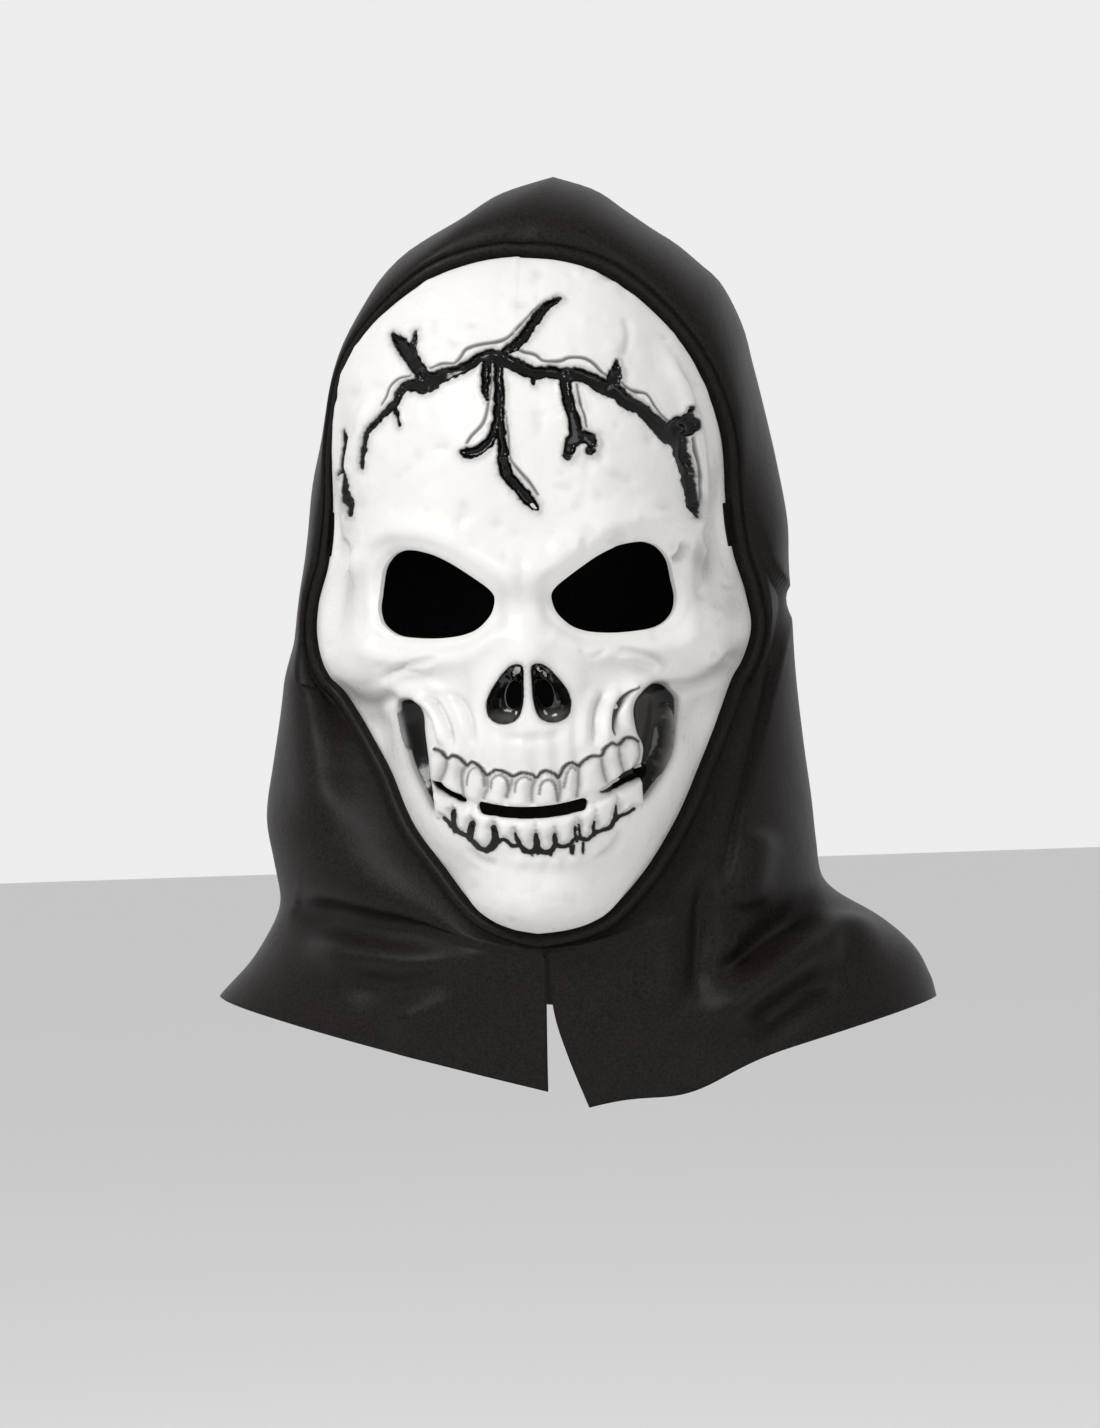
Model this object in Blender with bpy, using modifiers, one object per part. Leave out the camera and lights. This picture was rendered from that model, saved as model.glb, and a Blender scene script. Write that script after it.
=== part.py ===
"""Skull mask with an attached hood, for theatre and carnival.

Two pieces, as the real thing is made: a thin moulded face shell with cut-out
eyes, nostrils and mouth, and a sewn cloth hood whose turned edge is stuck
behind the shell's rim. The hood's crown, sides and cape are one sheet with a
centre seam, split below the chin.

Units: the tables are in millimetres, and the meshes are made in metres.
Axes: +Z up, the face looks along -Y, +X is the viewer's right.
Origin: on the crown of the wearer's head, inside the hood.
"h" in a table is the height above the eye line.
"""
import math

import bmesh
import bpy
import numpy as np
from mathutils.geometry import delaunay_2d_cdt

MM = 0.001

# Face shell: driving sizes
EYE_LINE_Z = -147.0        # eye line below the crown
CENTRE_H = -20.0           # middle of the shell, from which its rim is measured
FRONT_Y = -117.0           # foremost plane of the bare shell, before its relief
WALL = 1.8                 # moulded wall, measured along the shell's own normal
RIM_ANGLE = math.asin(0.995)   # how far the shell has turned back at its rim
RIM_RING = 6.0             # width of the ring of faces kept beside the rim
RIM_FADE = 12.0            # the relief dies out over this width towards the rim
GRID = 8.4                 # spacing of the points in the plain areas
MARK_GAP = 1.5             # least spacing of the points that follow a feature

# Hood: driving sizes
CLOTH = 1.2                # cloth, hem and facing taken as one thickness
LAP_GAP = 1.1              # from the shell's inner wall to the lap behind it
LAP_DEPTH = 6.0            # how far the lap reaches in behind the rim
SIDE_Y = 10.0              # depth at which the hood is widest
CROWN_FORWARD = 15.0       # how much nearer the front that is at the crown
SEAM_X = 3.0               # centre seam at the back
RIM_STATIONS = 37          # stations on each side, 5 degrees apart, from the top to the chin
SLIT_STATIONS = 6          # stations down each edge of the front slit

# Rim of the shell seen from its middle: 90 is straight up, -90 the chin
RIM = [
    # angle, left radius, right radius, depth behind the front plane
    (90, 150.0, 149.5, 48), (75, 145.0, 143.0, 50), (60, 133.0, 127.0, 62),
    (48, 114.0, 111.0, 74), (36, 97.0, 93.5, 84), (24, 89.0, 85.0, 90),
    (12, 88.5, 84.0, 93), (3, 87.5, 84.0, 94), (-6, 83.5, 80.5, 92),
    (-13, 77.5, 77.0, 88), (-25, 73.7, 76.5, 78), (-40, 75.0, 80.0, 68),
    (-55, 84.0, 89.0, 55), (-67, 92.5, 99.0, 45), (-77, 104.0, 108.0, 38),
    (-90, 111.0, 111.0, 33),
]
NOTCH_ANGLES = (25.0, 35.0)    # slots in the rim at each temple, between two stations
NOTCH_DEPTH = 5.0

# Soft forms of the face, on its front view
BUMPS = [
    # name, x, h, half width, half height, rise, on both sides
    ("forehead dome", 0, 72, 60, 46, 8.0, False),
    ("forehead eminence", 30, 60, 22, 22, 1.5, True),
    ("brow middle", 0, 7, 12, 9, 3.0, False),
    ("nose root", 0.5, -8, 9, 6, -1.5, False),
    ("nose bridge", 1, -23, 9, 13, 5.0, False),
    ("hollow beside nose", 28, -40, 11, 9, -2.5, True),
    ("upper jaw", 1.5, -62, 36, 22, 8.0, False),
    ("lower jaw", 1.5, -91, 34, 14, 6.5, False),
    ("chin", 3, -117, 24, 12, 8.0, False),
    ("hollow beside chin", 27, -108, 10, 9, -1.5, True),
]
# Forms on the turned-back sides, on the shell laid out flat, on both sides
SIDE_BUMPS = [
    # name, across, up, half width, half height, rise
    ("temple hollow", 97, 42, 18, 36, -5.0),
    ("cheekbone", 88, -3, 24, 16, 6.0),
    ("hollow under cheekbone", 82, -40, 15, 13, -4.5),
]
# Long soft ridges on both sides
RIDGES = [
    # name, half width, rise, line of (x, h)
    ("brow", 8.0, 4.5, [(7, 4), (20, 12), (34, 20), (50, 22), (62, 13)]),
    ("outer eye column", 5.0, 3.0, [(63, 12), (62, 0), (60, -12)]),
    ("lower eye edge", 5.0, 2.5, [(58, -20), (42, -24), (24, -24), (13, -17)]),
    ("cheek fold", 4.5, 2.5, [(50, -35), (37, -41), (30, -50), (27, -60)]),
]

# Openings cut through the shell
EYE_HOLE = [
    # x, h, on both sides
    (11.3, -4.6), (12, -0.4), (19, 5.2), (31, 12.9), (42, 16.5), (50.3, 15.8), (55.6, 10.6),
    (58.2, 2.5), (58.7, -4), (57, -10.2), (52.8, -14.9), (46, -16.8), (34, -17.4), (22, -15.6),
    (14.6, -10.8),
]
SOCKET_FALL = 5.0          # how far the eye's edge lies back
SOCKET_WIDTH = 5.5
NOSE_X = 1.0
NOSTRIL = (6.9, -40.0, 3.8, 5.6, 12.0)    # x from the septum, h, half axes, lean in degrees
SLIT_HALF_LENGTH = 18.8
SLIT_HALF_HEIGHT = 2.4
SLIT_H = -81.7
SLIT_SAG = 2.6             # the mouth's middle hangs lower than its ends

# Sunken areas
NOSE_LOBE = [
    # x from the septum, h
    (1.3, -29), (4.5, -28), (8, -30), (11.5, -34), (14.5, -38.5), (15.7, -43),
    (14.5, -47.5), (10.5, -50.3), (6, -50), (3, -47.5), (1.5, -42), (1.2, -35),
]
NOSE_DEPTH = 9.0
NOSE_SLOPE = 3.0           # width of the step down at a sunken area's edge
NOSE_LOBE_MIDDLE = (7.0, -39.5)
NOSE_STEP_SHARE = 0.72     # foot of that step, as a share of the way out from the middle
JAW_LEFT = [
    # x, h
    (-50, -41), (-44.5, -39.5), (-40.5, -42), (-39.5, -51), (-38, -60), (-37.5, -69),
    (-36.5, -81.5), (-40.5, -75), (-45, -66), (-48, -56), (-50, -48),
]
JAW_RIGHT = [
    # x, h
    (41, -41), (46, -37), (52, -37.5), (56, -42), (56, -50), (54.5, -58), (51, -67),
    (46, -75), (40, -80.5), (40, -70), (41.5, -61), (39.5, -55), (39, -47),
]
JAW_DEPTH = 8.0
JAW_SLOPE = 4.5
JAW_STEP_SHARE = (0.45, 0.8)   # foot of its step, as shares across and up

# Teeth: each tooth lies between two edges
UPPER_TEETH = [
    # x of the edge, h of the gum, h of the biting edge
    (-36.5, -59, -72), (-31, -63, -75.5), (-24, -65.5, -78.5), (-15.5, -69.5, -80),
    (-6, -70.5, -81.5), (3, -71, -81.5), (12.5, -69.5, -80.5), (20, -66.5, -78.5),
    (27.5, -63, -75.5), (33.5, -59.5, -71.5), (41.5, -58, -66),
]
LOWER_TEETH = [
    # x of the edge, h of the root, h of the biting edge
    (-36.5, -83, -75), (-31, -88, -79.5), (-23, -92.5, -83.5), (-13.5, -96, -86.5),
    (-5.5, -97, -87.5), (2.5, -98, -87.5), (9, -98, -87), (18, -95, -85.5),
    (24, -93.5, -83), (32, -89, -79.5), (39.5, -83, -74.5),
]
TOOTH_RISE = 1.8
GUM_ARCH = 1.8             # each tooth's top curves this far past its edges
TOOTH_ROWS = (-0.08, 0.22, 0.8, 1.08)    # where a tooth's faces change, from root to bite

# Cracks pressed into the forehead
CRACKS = [
    # name, width at the start, width at the end, line of (x, h)
    ("brow crack left", 4.2, 1.2, [(-9, 90), (-17, 87), (-26, 82), (-36, 81), (-44, 78.5),
                                   (-50, 71), (-57, 65), (-61, 52.5)]),
    ("brow crack right", 4.2, 4.2, [(-9, 90), (-3, 88), (5, 82), (15, 80), (22, 81.5), (30, 78),
                                    (40, 71), (50, 63.5), (59, 54.5)]),
    ("dagger", 4.6, 0.8, [(63, 63), (60, 54), (62, 42), (64, 27.5)]),
    ("upper left spur", 4.0, 2.4, [(-36, 81), (-41, 90), (-47, 98.5)]),
    ("upper branch", 3.6, 1.6, [(-5, 89), (1, 95), (7, 103), (16, 110)]),
    ("long branch", 3.6, 2.2, [(-8, 89), (-7, 72), (-5.5, 50), (-2, 42), (5.5, 31)]),
    ("hooked branch", 2.4, 3.4, [(-6.5, 66), (-10, 57), (-19, 52)]),
    ("forked branch", 3.8, 4.6, [(19, 79), (21, 68), (23, 56)]),
    ("temple crack", 2.4, 1.2, [(-70, 62), (-68.5, 50), (-67.5, 32)]),
]
CRACK_DEPTH = 1.5
CRACK_LIP = 0.6

# Edge of the hood at the rim, as a section across it
EDGE_SECTION = [
    # name, out from the shell's outer wall, back past its rim
    ("turn", -1.2, 1.9),
    ("under band", 1.2, 1.4),
    ("band crest", 3.0, 0.8),
    ("band edge", 4.6, 1.6),
    ("stitch groove", 5.6, 2.8),
    ("sheet starts", 7.2, 2.2),
]
# How much of that section's width shows beside the rim
EDGE_SPREAD = [
    # station, left share, right share
    (90, 1.0, 1.0), (76, 0.9, 1.0), (64, 0.55, 1.0), (45, 0.5, 1.0), (25, 0.75, 1.0),
    (5, 0.85, 1.0), (-10, 1.0, 1.0), (-90, 1.0, 1.0),
]
# Where each line across the hood runs: from the rim or slit, over the side, to the back
LINES = [
    # station, left side z, right side z, back z
    (90, 17.8, 17.8, -60), (80, 8, 6, -66), (70, -9, -9, -75), (60, -35, -28, -88),
    (48, -69, -56, -104), (36, -98, -87, -120), (24, -126, -112, -136), (12, -142, -134, -151),
    (0, -158, -154, -167), (-13, -178, -179, -184), (-25, -196, -198, -200),
    (-40, -215, -219, -220), (-55, -232, -236, -238), (-67, -245, -249, -252),
    (-77, -255, -259, -264), (-90, -264, -268, -276), (-110, -278, -284, -290),
    (-150, -303, -312, -318),
]
SIDES = [
    # z, left x, right x
    (17.8, 12, 12), (12, -8, 28), (4, -21, 39), (-4, -37, 50), (-10, -47, 59), (-18, -55.5, 68),
    (-26, -61, 76), (-42, -70.5, 83.5), (-57, -76.5, 87), (-73, -81, 90.5), (-97, -88.5, 95.2),
    (-121, -92, 98.5), (-145, -96, 97), (-177, -102, 98.3), (-209, -109, 101.4),
    (-231, -112.7, 104), (-249, -110.4, 105.5), (-265, -108.2, 108), (-275, -112, 121),
    (-289, -121, 141), (-303, -134.5, 149), (-312, -140, 151.5),
]
BACK = [
    # z, y
    (-60, 100), (-90, 107), (-130, 111), (-180, 106), (-220, 100), (-260, 102), (-318, 118),
]
SLIT = [
    # down from the chin, left x, right x, y, left z, right z
    (0, 2.0, 3.0, -82.0, -286.0, -286.0), (20, 1.6, 4.2, -80.5, -306.0, -308.0),
    (40, 1.1, 9.0, -78.0, -323.0, -326.0), (60, 0.7, 16.3, -75.0, -339.5, -346.0),
]
# Folds of the cloth, pushed out (or in) beside a line on the front view
FOLDS = [
    # name, half width, rise, line of (x, z)
    ("right pleat", 5.0, -3.0, [(88, -120), (90, -170), (84, -215), (72, -262)]),
    ("right roll", 9.0, 4.0, [(80, -150), (78, -200), (64, -250)]),
    ("right shoulder valley", 9.0, -5.0, [(104, -258), (88, -276), (70, -284), (60, -276)]),
    ("right shoulder ridge", 11.0, 5.0, [(122, -274), (96, -292), (62, -306), (30, -322)]),
    ("left shoulder valley", 10.0, -4.0, [(-104, -262), (-72, -274), (-30, -284)]),
    ("left shoulder ridge", 12.0, 4.0, [(-120, -284), (-84, -296), (-44, -310), (-12, -322)]),
    ("left cheek roll", 12.0, 3.0, [(-92, -160), (-88, -205), (-84, -240)]),
]
BACK_WAVES = 4             # soft upright folds across the back of the cape
BACK_WAVE_RISE = 4.0
MAIN_STEPS = (0.0, 0.1, 0.22, 0.37, 0.54, 0.74, 0.94, 1.16, 1.42, 1.7, 2.0)


def clear_scene():
    for obj in list(bpy.data.objects):
        bpy.data.objects.remove(obj, do_unlink=True)
    for mesh in list(bpy.data.meshes):
        bpy.data.meshes.remove(mesh)


def smooth_line(points, steps=8, closed=False):
    """Curve through the points (Catmull-Rom), as a dense array of points."""
    pts = np.array(points, float)
    count = len(pts)
    if closed:
        padded = np.vstack([pts[-1], pts, pts[0], pts[1]])
        spans = count
    else:
        padded = np.vstack([2 * pts[0] - pts[1], pts, 2 * pts[-1] - pts[-2]])
        spans = count - 1
    t = np.linspace(0, 1, steps, endpoint=False)[:, None]
    rows = []
    for i in range(spans):
        a, b, c, d = padded[i:i + 4]
        rows.append(0.5 * (2 * b + (c - a) * t + (2 * a - 5 * b + 4 * c - d) * t ** 2
                           + (3 * b - a - 3 * c + d) * t ** 3))
    if not closed:
        rows.append(pts[-1:])
    return np.vstack(rows)


def resample(line, spacing, closed=False):
    """Points along a dense line at about an even spacing."""
    pts = np.vstack([line, line[:1]]) if closed else line
    length = np.concatenate([[0], np.cumsum(np.linalg.norm(np.diff(pts, axis=0), axis=1))])
    count = max(int(round(length[-1] / spacing)), 3 if closed else 1)
    at = np.linspace(0, length[-1], count + 1)
    out = np.column_stack([np.interp(at, length, pts[:, k]) for k in range(pts.shape[1])])
    return out[:-1] if closed else out


def table(rows):
    """Smooth lookup in a table whose first column is the key."""
    dense = smooth_line(rows)
    dense = dense[np.argsort(dense[:, 0])]

    def look(key, column):
        return np.interp(key, dense[:, 0], dense[:, column])
    return look


def distance(points, line):
    """Distance from each point to a line, and how far along the line it is nearest."""
    best = np.full(len(points), 1e9)
    along = np.zeros(len(points))
    run = 0.0
    for a, b in zip(line[:-1], line[1:]):
        ab = b - a
        size = float(np.dot(ab, ab)) + 1e-12
        t = np.clip(((points - a) @ ab) / size, 0, 1)
        gap = np.linalg.norm(points - (a + t[:, None] * ab), axis=1)
        closer = gap < best
        best[closer] = gap[closer]
        along[closer] = run + t[closer] * math.sqrt(size)
        run += math.sqrt(size)
    return best, along / run


def inside(points, outline):
    x, y = points[:, 0], points[:, 1]
    hit = np.zeros(len(points), bool)
    for (ax, ay), (bx, by) in zip(outline, np.roll(outline, -1, axis=0)):
        crosses = (ay > y) != (by > y)
        if ay != by:
            hit ^= crosses & (x < (bx - ax) * (y - ay) / (by - ay) + ax)
    return hit


def signed_distance(points, outline):
    """Distance to a closed outline, below zero inside it."""
    gap, _ = distance(points, np.vstack([outline, outline[:1]]))
    return np.where(inside(points, outline), -gap, gap)


def ease(value, start, end):
    t = np.clip((value - start) / (end - start), 0, 1)
    return t * t * (3 - 2 * t)


rim_table = table(RIM)


def rim_at(angle):
    """Rim radius, depth and laid-out length at angles in radians."""
    turn = np.degrees(angle)
    left = np.abs(turn) > 90
    mirrored = np.where(left, np.where(turn > 0, 180 - turn, -180 - turn), turn)
    radius = np.where(left, rim_table(mirrored, 1), rim_table(mirrored, 2))
    depth = rim_table(mirrored, 3)
    length = np.sqrt((radius ** 2 + depth ** 2) / 2) * RIM_ANGLE
    return radius, depth, length


def lay_flat(front):
    """From (x, h) on the front view to the shell laid out flat."""
    x, up = front[:, 0], front[:, 1] - CENTRE_H
    angle = np.arctan2(up, x)
    radius, _, length = rim_at(angle)
    share = np.clip(np.hypot(x, up) / radius, 0, 1)
    reach = np.arcsin(share * math.sin(RIM_ANGLE)) / RIM_ANGLE * length
    return np.column_stack([reach * np.cos(angle), reach * np.sin(angle)])


def bare_shell(flat):
    """Points of the shell before its relief, as (x, y, h)."""
    angle = np.arctan2(flat[:, 1], flat[:, 0])
    radius, depth, length = rim_at(angle)
    theta = np.hypot(flat[:, 0], flat[:, 1]) / length * RIM_ANGLE
    out = radius * np.sin(theta) / math.sin(RIM_ANGLE)
    y = FRONT_Y + depth * (1 - np.cos(theta)) / (1 - math.cos(RIM_ANGLE))
    return np.column_stack([out * np.cos(angle), y, CENTRE_H + out * np.sin(angle)])


def shell_normals(flat):
    step = 0.5
    across = bare_shell(flat + [step, 0]) - bare_shell(flat - [step, 0])
    up = bare_shell(flat + [0, step]) - bare_shell(flat - [0, step])
    normal = np.cross(across, up)
    return normal / np.linalg.norm(normal, axis=1)[:, None]


def mirror(points):
    return np.array([(-x, h) for x, h in points])[::-1]


def eye_holes():
    right = smooth_line(EYE_HOLE, closed=True)
    return [right, mirror(right)]


def nose_lobes():
    right = smooth_line(NOSE_LOBE, closed=True)
    return [right + [NOSE_X, 0], mirror(right) + [NOSE_X, 0]]


def nostrils():
    x, h, wide, high, lean = NOSTRIL
    turn = np.linspace(0, 2 * math.pi, 40, endpoint=False)
    lean = math.radians(lean)
    dx, dh = wide * np.cos(turn), high * np.sin(turn)
    right = np.column_stack([x + dx * math.cos(lean) - dh * math.sin(lean),
                             h + dx * math.sin(lean) + dh * math.cos(lean)])
    return [right + [NOSE_X, 0], mirror(right) + [NOSE_X, 0]]


def mouth_slit():
    """A long slot with round ends, bent down in the middle."""
    straight = SLIT_HALF_LENGTH - SLIT_HALF_HEIGHT
    turn = np.linspace(-math.pi / 2, math.pi / 2, 9)
    cap = np.column_stack([np.cos(turn), np.sin(turn)]) * SLIT_HALF_HEIGHT
    top = np.column_stack([np.linspace(straight, -straight, 17)[1:-1],
                           np.full(15, SLIT_HALF_HEIGHT)])
    outline = np.vstack([cap + [straight, 0], top, -cap - [straight, 0], -top])
    sag = SLIT_SAG * ((outline[:, 0] / SLIT_HALF_LENGTH) ** 2 - 0.4)
    return outline + np.column_stack([np.full(len(sag), NOSE_X), SLIT_H + sag])


def tooth_rise(front, rows, root_side):
    """Rounded teeth between the edges of a row; root_side is 1 above, -1 below."""
    edges = np.array(rows, float)
    x, h = front[:, 0], front[:, 1]
    look = table(rows)
    slot = np.clip(np.searchsorted(edges[:, 0], x) - 1, 0, len(edges) - 2)
    left, right = edges[slot, 0], edges[slot + 1, 0]
    side = np.clip((x - left) / (right - left) * 2 - 1, -1, 1)
    root = look(x, 1) + root_side * GUM_ARCH * (1 - side ** 2)
    down = (root - h) / (root - look(x, 2))
    body = ease(down, -0.02, 0.2) * (1 - ease(down, 0.85, 1.08))
    within = (x > edges[0, 0]) & (x < edges[-1, 0])
    return TOOTH_RISE * body * (1 - np.abs(side) ** 3) * within


def relief(front, flat):
    """Rise of the face above the bare shell, along its normal."""
    x, h = front[:, 0], front[:, 1]
    rise = np.zeros(len(front))
    for _, bx, bh, half_w, half_h, amount, both in BUMPS:
        for side in (1, -1) if both else (1,):
            rise += amount * np.exp(-((x - side * bx) / half_w) ** 2 - ((h - bh) / half_h) ** 2)
    for _, across, up, half_w, half_h, amount in SIDE_BUMPS:
        du, dv = (np.abs(flat[:, 0]) - across) / half_w, (flat[:, 1] - up) / half_h
        rise += amount * np.exp(-du ** 2 - dv ** 2)
    folded = np.column_stack([np.abs(x), h])
    for _, half_w, amount, line in RIDGES:
        gap, _ = distance(folded, smooth_line(line))
        rise += amount * np.exp(-(gap / half_w) ** 2)
    for hole in eye_holes():
        gap = np.maximum(signed_distance(front, hole), 0)
        rise -= SOCKET_FALL * np.exp(-(gap / SOCKET_WIDTH) ** 2)
    for lobe in nose_lobes():
        rise -= NOSE_DEPTH * ease(-signed_distance(front, lobe), 0, NOSE_SLOPE)
    for outline in (JAW_LEFT, JAW_RIGHT):
        depth = -signed_distance(front, smooth_line(outline, closed=True))
        rise -= JAW_DEPTH * ease(depth, -1, JAW_SLOPE)
    rise += tooth_rise(front, UPPER_TEETH, 1) + tooth_rise(front, LOWER_TEETH, -1)
    for _, start, end, line in CRACKS:
        gap, along = distance(front, smooth_line(line))
        half = (start + (end - start) * along) / 2
        rise -= CRACK_DEPTH * (1 - ease(gap, 0.2 * half, half))
        rise += CRACK_LIP * np.exp(-((gap - half - 0.6) / 0.9) ** 2)
    _, _, length = rim_at(np.arctan2(flat[:, 1], flat[:, 0]))
    return rise * ease(length - np.hypot(flat[:, 0], flat[:, 1]), 0, RIM_FADE)


def face_point(flat, inward=0.0):
    """Points on the finished face, or at a distance in behind it."""
    bare = bare_shell(flat)
    rise = relief(bare[:, [0, 2]], flat)
    place = bare + shell_normals(flat) * (rise - inward)[:, None]
    return place + [0, 0, EYE_LINE_Z]


def rim_angles():
    """Angles of the rim stations, anticlockwise all round, shared with the hood."""
    half = np.linspace(90, -90, RIM_STATIONS)
    right = np.radians(half[::-1])
    left = np.radians(180 - half[1:-1])
    return np.concatenate([right, left])


def ring(inset, angles):
    """A closed line on the laid-out shell, a distance in from the rim."""
    _, _, length = rim_at(np.arctan2(np.sin(angles), np.cos(angles)))
    reach = length - inset
    return np.column_stack([reach * np.cos(angles), reach * np.sin(angles)])


def rim_outline():
    """The rim with its two temple notches, whose sides lie on stations."""
    low, high = NOTCH_ANGLES
    angles, insets = [], []
    for angle in rim_angles():
        lean = math.degrees(math.asin(math.sin(angle)))
        rising = math.cos(angle) > 0
        steps = [0.0]
        if low - 0.1 < lean < high + 0.1:
            steps = [NOTCH_DEPTH]
        if abs(lean - low) < 0.1:
            steps = [0.0, NOTCH_DEPTH] if rising else [NOTCH_DEPTH, 0.0]
        if abs(lean - high) < 0.1:
            steps = [NOTCH_DEPTH, 0.0] if rising else [0.0, NOTCH_DEPTH]
        angles += [angle] * len(steps)
        insets += steps
    return ring(np.array(insets), np.array(angles))


def tooth_points(rows, root_side):
    """Points down each edge between teeth, and two columns on each tooth."""
    look = table(rows)
    points = []
    for (x0, _, _), (x1, _, _) in zip(rows[:-1], rows[1:]):
        for share in (0.0, 0.28, 0.72):
            x = x0 + share * (x1 - x0)
            arch = GUM_ARCH * (1 - (2 * share - 1) ** 2)
            root, bite = float(look(x, 1)) + root_side * arch, float(look(x, 2))
            for down in TOOTH_ROWS:
                points.append((x, root + down * (bite - root)))
    points += [(rows[-1][0], rows[-1][1] + down * (rows[-1][2] - rows[-1][1])) for down in TOOTH_ROWS]
    return np.array(points)


def offset_line(line, shift):
    """The same line moved sideways by a shift that may vary along it."""
    ahead = np.gradient(line, axis=0)
    ahead /= np.linalg.norm(ahead, axis=1)[:, None] + 1e-9
    side = np.column_stack([-ahead[:, 1], ahead[:, 0]])
    return line + side * np.asarray(shift)[:, None]


def shell_points():
    """Holes, feature points and plain grid of the shell, on the flat layout."""
    holes = [resample(hole, 6.0, True) for hole in eye_holes()]
    holes += [resample(hole, 3.4, True) for hole in nostrils()]
    holes.append(resample(mouth_slit(), 3.6, True))
    features = [resample(lobe, 3.2, True) for lobe in nose_lobes()]
    for lobe in nose_lobes():
        sign = 1 if lobe[:, 0].mean() > NOSE_X else -1
        centre = np.array(NOSE_LOBE_MIDDLE) * [sign, 1] + [NOSE_X, 0]
        features.append(centre + (resample(lobe, 3.4, True) - centre) * NOSE_STEP_SHARE)
    for outline in (JAW_LEFT, JAW_RIGHT):
        edge = resample(smooth_line(outline, closed=True), 5.0, True)
        centre = edge.mean(axis=0)
        features += [edge, centre + (edge - centre) * JAW_STEP_SHARE]
    features += [tooth_points(UPPER_TEETH, 1), tooth_points(LOWER_TEETH, -1)]
    for _, start, end, line in CRACKS:
        run = resample(smooth_line(line), 5.5)
        half = np.linspace(start, end, len(run)) / 2
        features += [run, offset_line(run, half + 0.5), offset_line(run, -half - 0.5)]
    for _, _, _, line in RIDGES:
        run = resample(smooth_line(line), 8.0)
        features += [run, mirror(run)]
    return holes, features


def thin_out(points, fixed, gap):
    """Points that stay clear of the fixed points and of each other."""
    kept = np.vstack([fixed, np.full_like(points, 1e9)])
    count = len(fixed)
    for point in points:
        away = kept[:count] - point
        if np.min(away[:, 0] ** 2 + away[:, 1] ** 2) > gap * gap:
            kept[count] = point
            count += 1
    return kept[len(fixed):count]


def shell_sheet():
    """Triangles of the face on its flat layout: points and faces."""
    holes, features = shell_points()
    rim = rim_outline()
    holes = [lay_flat(hole) for hole in holes]
    inner = ring(RIM_RING, rim_angles())
    loops = [rim, inner] + holes
    fixed = np.vstack(loops)
    marks = thin_out(lay_flat(np.vstack(features)), fixed, MARK_GAP)
    rows = int(320 / GRID)
    grid = [((i + 0.5 * (j % 2)) * GRID, j * GRID * math.sqrt(3) / 2)
            for j in range(-rows, rows) for i in range(-rows, rows)]
    grid = np.array(grid)
    grid = grid[inside(grid, ring(RIM_RING + 0.5 * GRID, rim_angles()))]
    plain = thin_out(grid, np.vstack([fixed, marks]), 0.62 * GRID)
    points = np.vstack([fixed, marks, plain])
    edges = []
    start = 0
    for loop in loops:
        count = len(loop)
        edges += [(start + i, start + (i + 1) % count) for i in range(count)]
        start += count
    flat, _, faces, _, _, _ = delaunay_2d_cdt([tuple(p) for p in points], edges, [], 0, 1e-4)
    flat = np.array([tuple(p) for p in flat])
    faces = np.array(faces)
    middle = flat[faces].mean(axis=1)
    keep = inside(middle, rim)
    for hole in holes:
        keep &= ~inside(middle, hole)
    return flat, faces[keep]


def new_object(name, mesh, look, collection):
    obj = bpy.data.objects.new(name, mesh)
    obj.data.materials.append(look)
    collection.objects.link(obj)
    return obj


def material(name, colour, roughness, coat=0.0):
    made = bpy.data.materials.new(name)
    made.use_nodes = True
    shader = made.node_tree.nodes["Principled BSDF"]
    shader.inputs["Base Color"].default_value = (*colour, 1.0)
    shader.inputs["Roughness"].default_value = roughness
    shader.inputs["Coat Weight"].default_value = coat
    made.diffuse_color = (*colour, 1.0)
    return made


def build_shell(collection):
    """The face: its outer sheet, thickened inward along the shell's normals."""
    flat, faces = shell_sheet()
    used = np.unique(faces)
    renumber = {int(old): new for new, old in enumerate(used)}
    flat = flat[used]
    outer = face_point(flat) * MM
    inner = face_point(flat, WALL) * MM
    bm = bmesh.new()
    verts = [bm.verts.new(point) for point in outer]
    for face in faces:
        bm.faces.new([verts[renumber[int(i)]] for i in face])
    sheet = list(bm.faces)
    made = bmesh.ops.extrude_face_region(bm, geom=sheet, use_keep_orig=True)["geom"]
    back = [item for item in made if isinstance(item, bmesh.types.BMVert)]
    place = {tuple(v.co): i for i, v in enumerate(verts)}
    for vert in back:
        vert.co = inner[place[tuple(vert.co)]]
    bmesh.ops.triangulate(bm, faces=bm.faces)
    bmesh.ops.recalc_face_normals(bm, faces=bm.faces)
    mesh = bpy.data.meshes.new("mask_shell")
    bm.to_mesh(mesh)
    bm.free()
    mesh.shade_smooth()
    plastic = material("white moulded plastic", (0.78, 0.77, 0.74), 0.28, 0.4)
    return new_object("mask_shell", mesh, plastic, collection)


def edge_rows(side):
    """The hood's lap and turned edge at each rim station, from the top to the chin."""
    turn = np.radians(np.linspace(90, -90, RIM_STATIONS))
    angle = turn if side > 0 else math.pi - turn
    wall = WALL + LAP_GAP + CLOTH / 2
    rows = [face_point(ring(LAP_DEPTH, angle), wall), face_point(ring(1.0, angle), wall)]
    edge = face_point(ring(0.0, angle))
    inner = face_point(ring(1.0, angle))
    normal = shell_normals(ring(0.5, angle))
    past = edge - inner
    past /= np.linalg.norm(past, axis=1)[:, None]
    spread = table(EDGE_SPREAD)(np.linspace(90, -90, RIM_STATIONS), 1 if side < 0 else 2)
    for _, out, back in EDGE_SECTION:
        narrow = np.where(out > 0, spread, 1.0)
        rows.append(edge + normal * (out * narrow)[:, None] + past * back)
    return np.array(rows)


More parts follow.
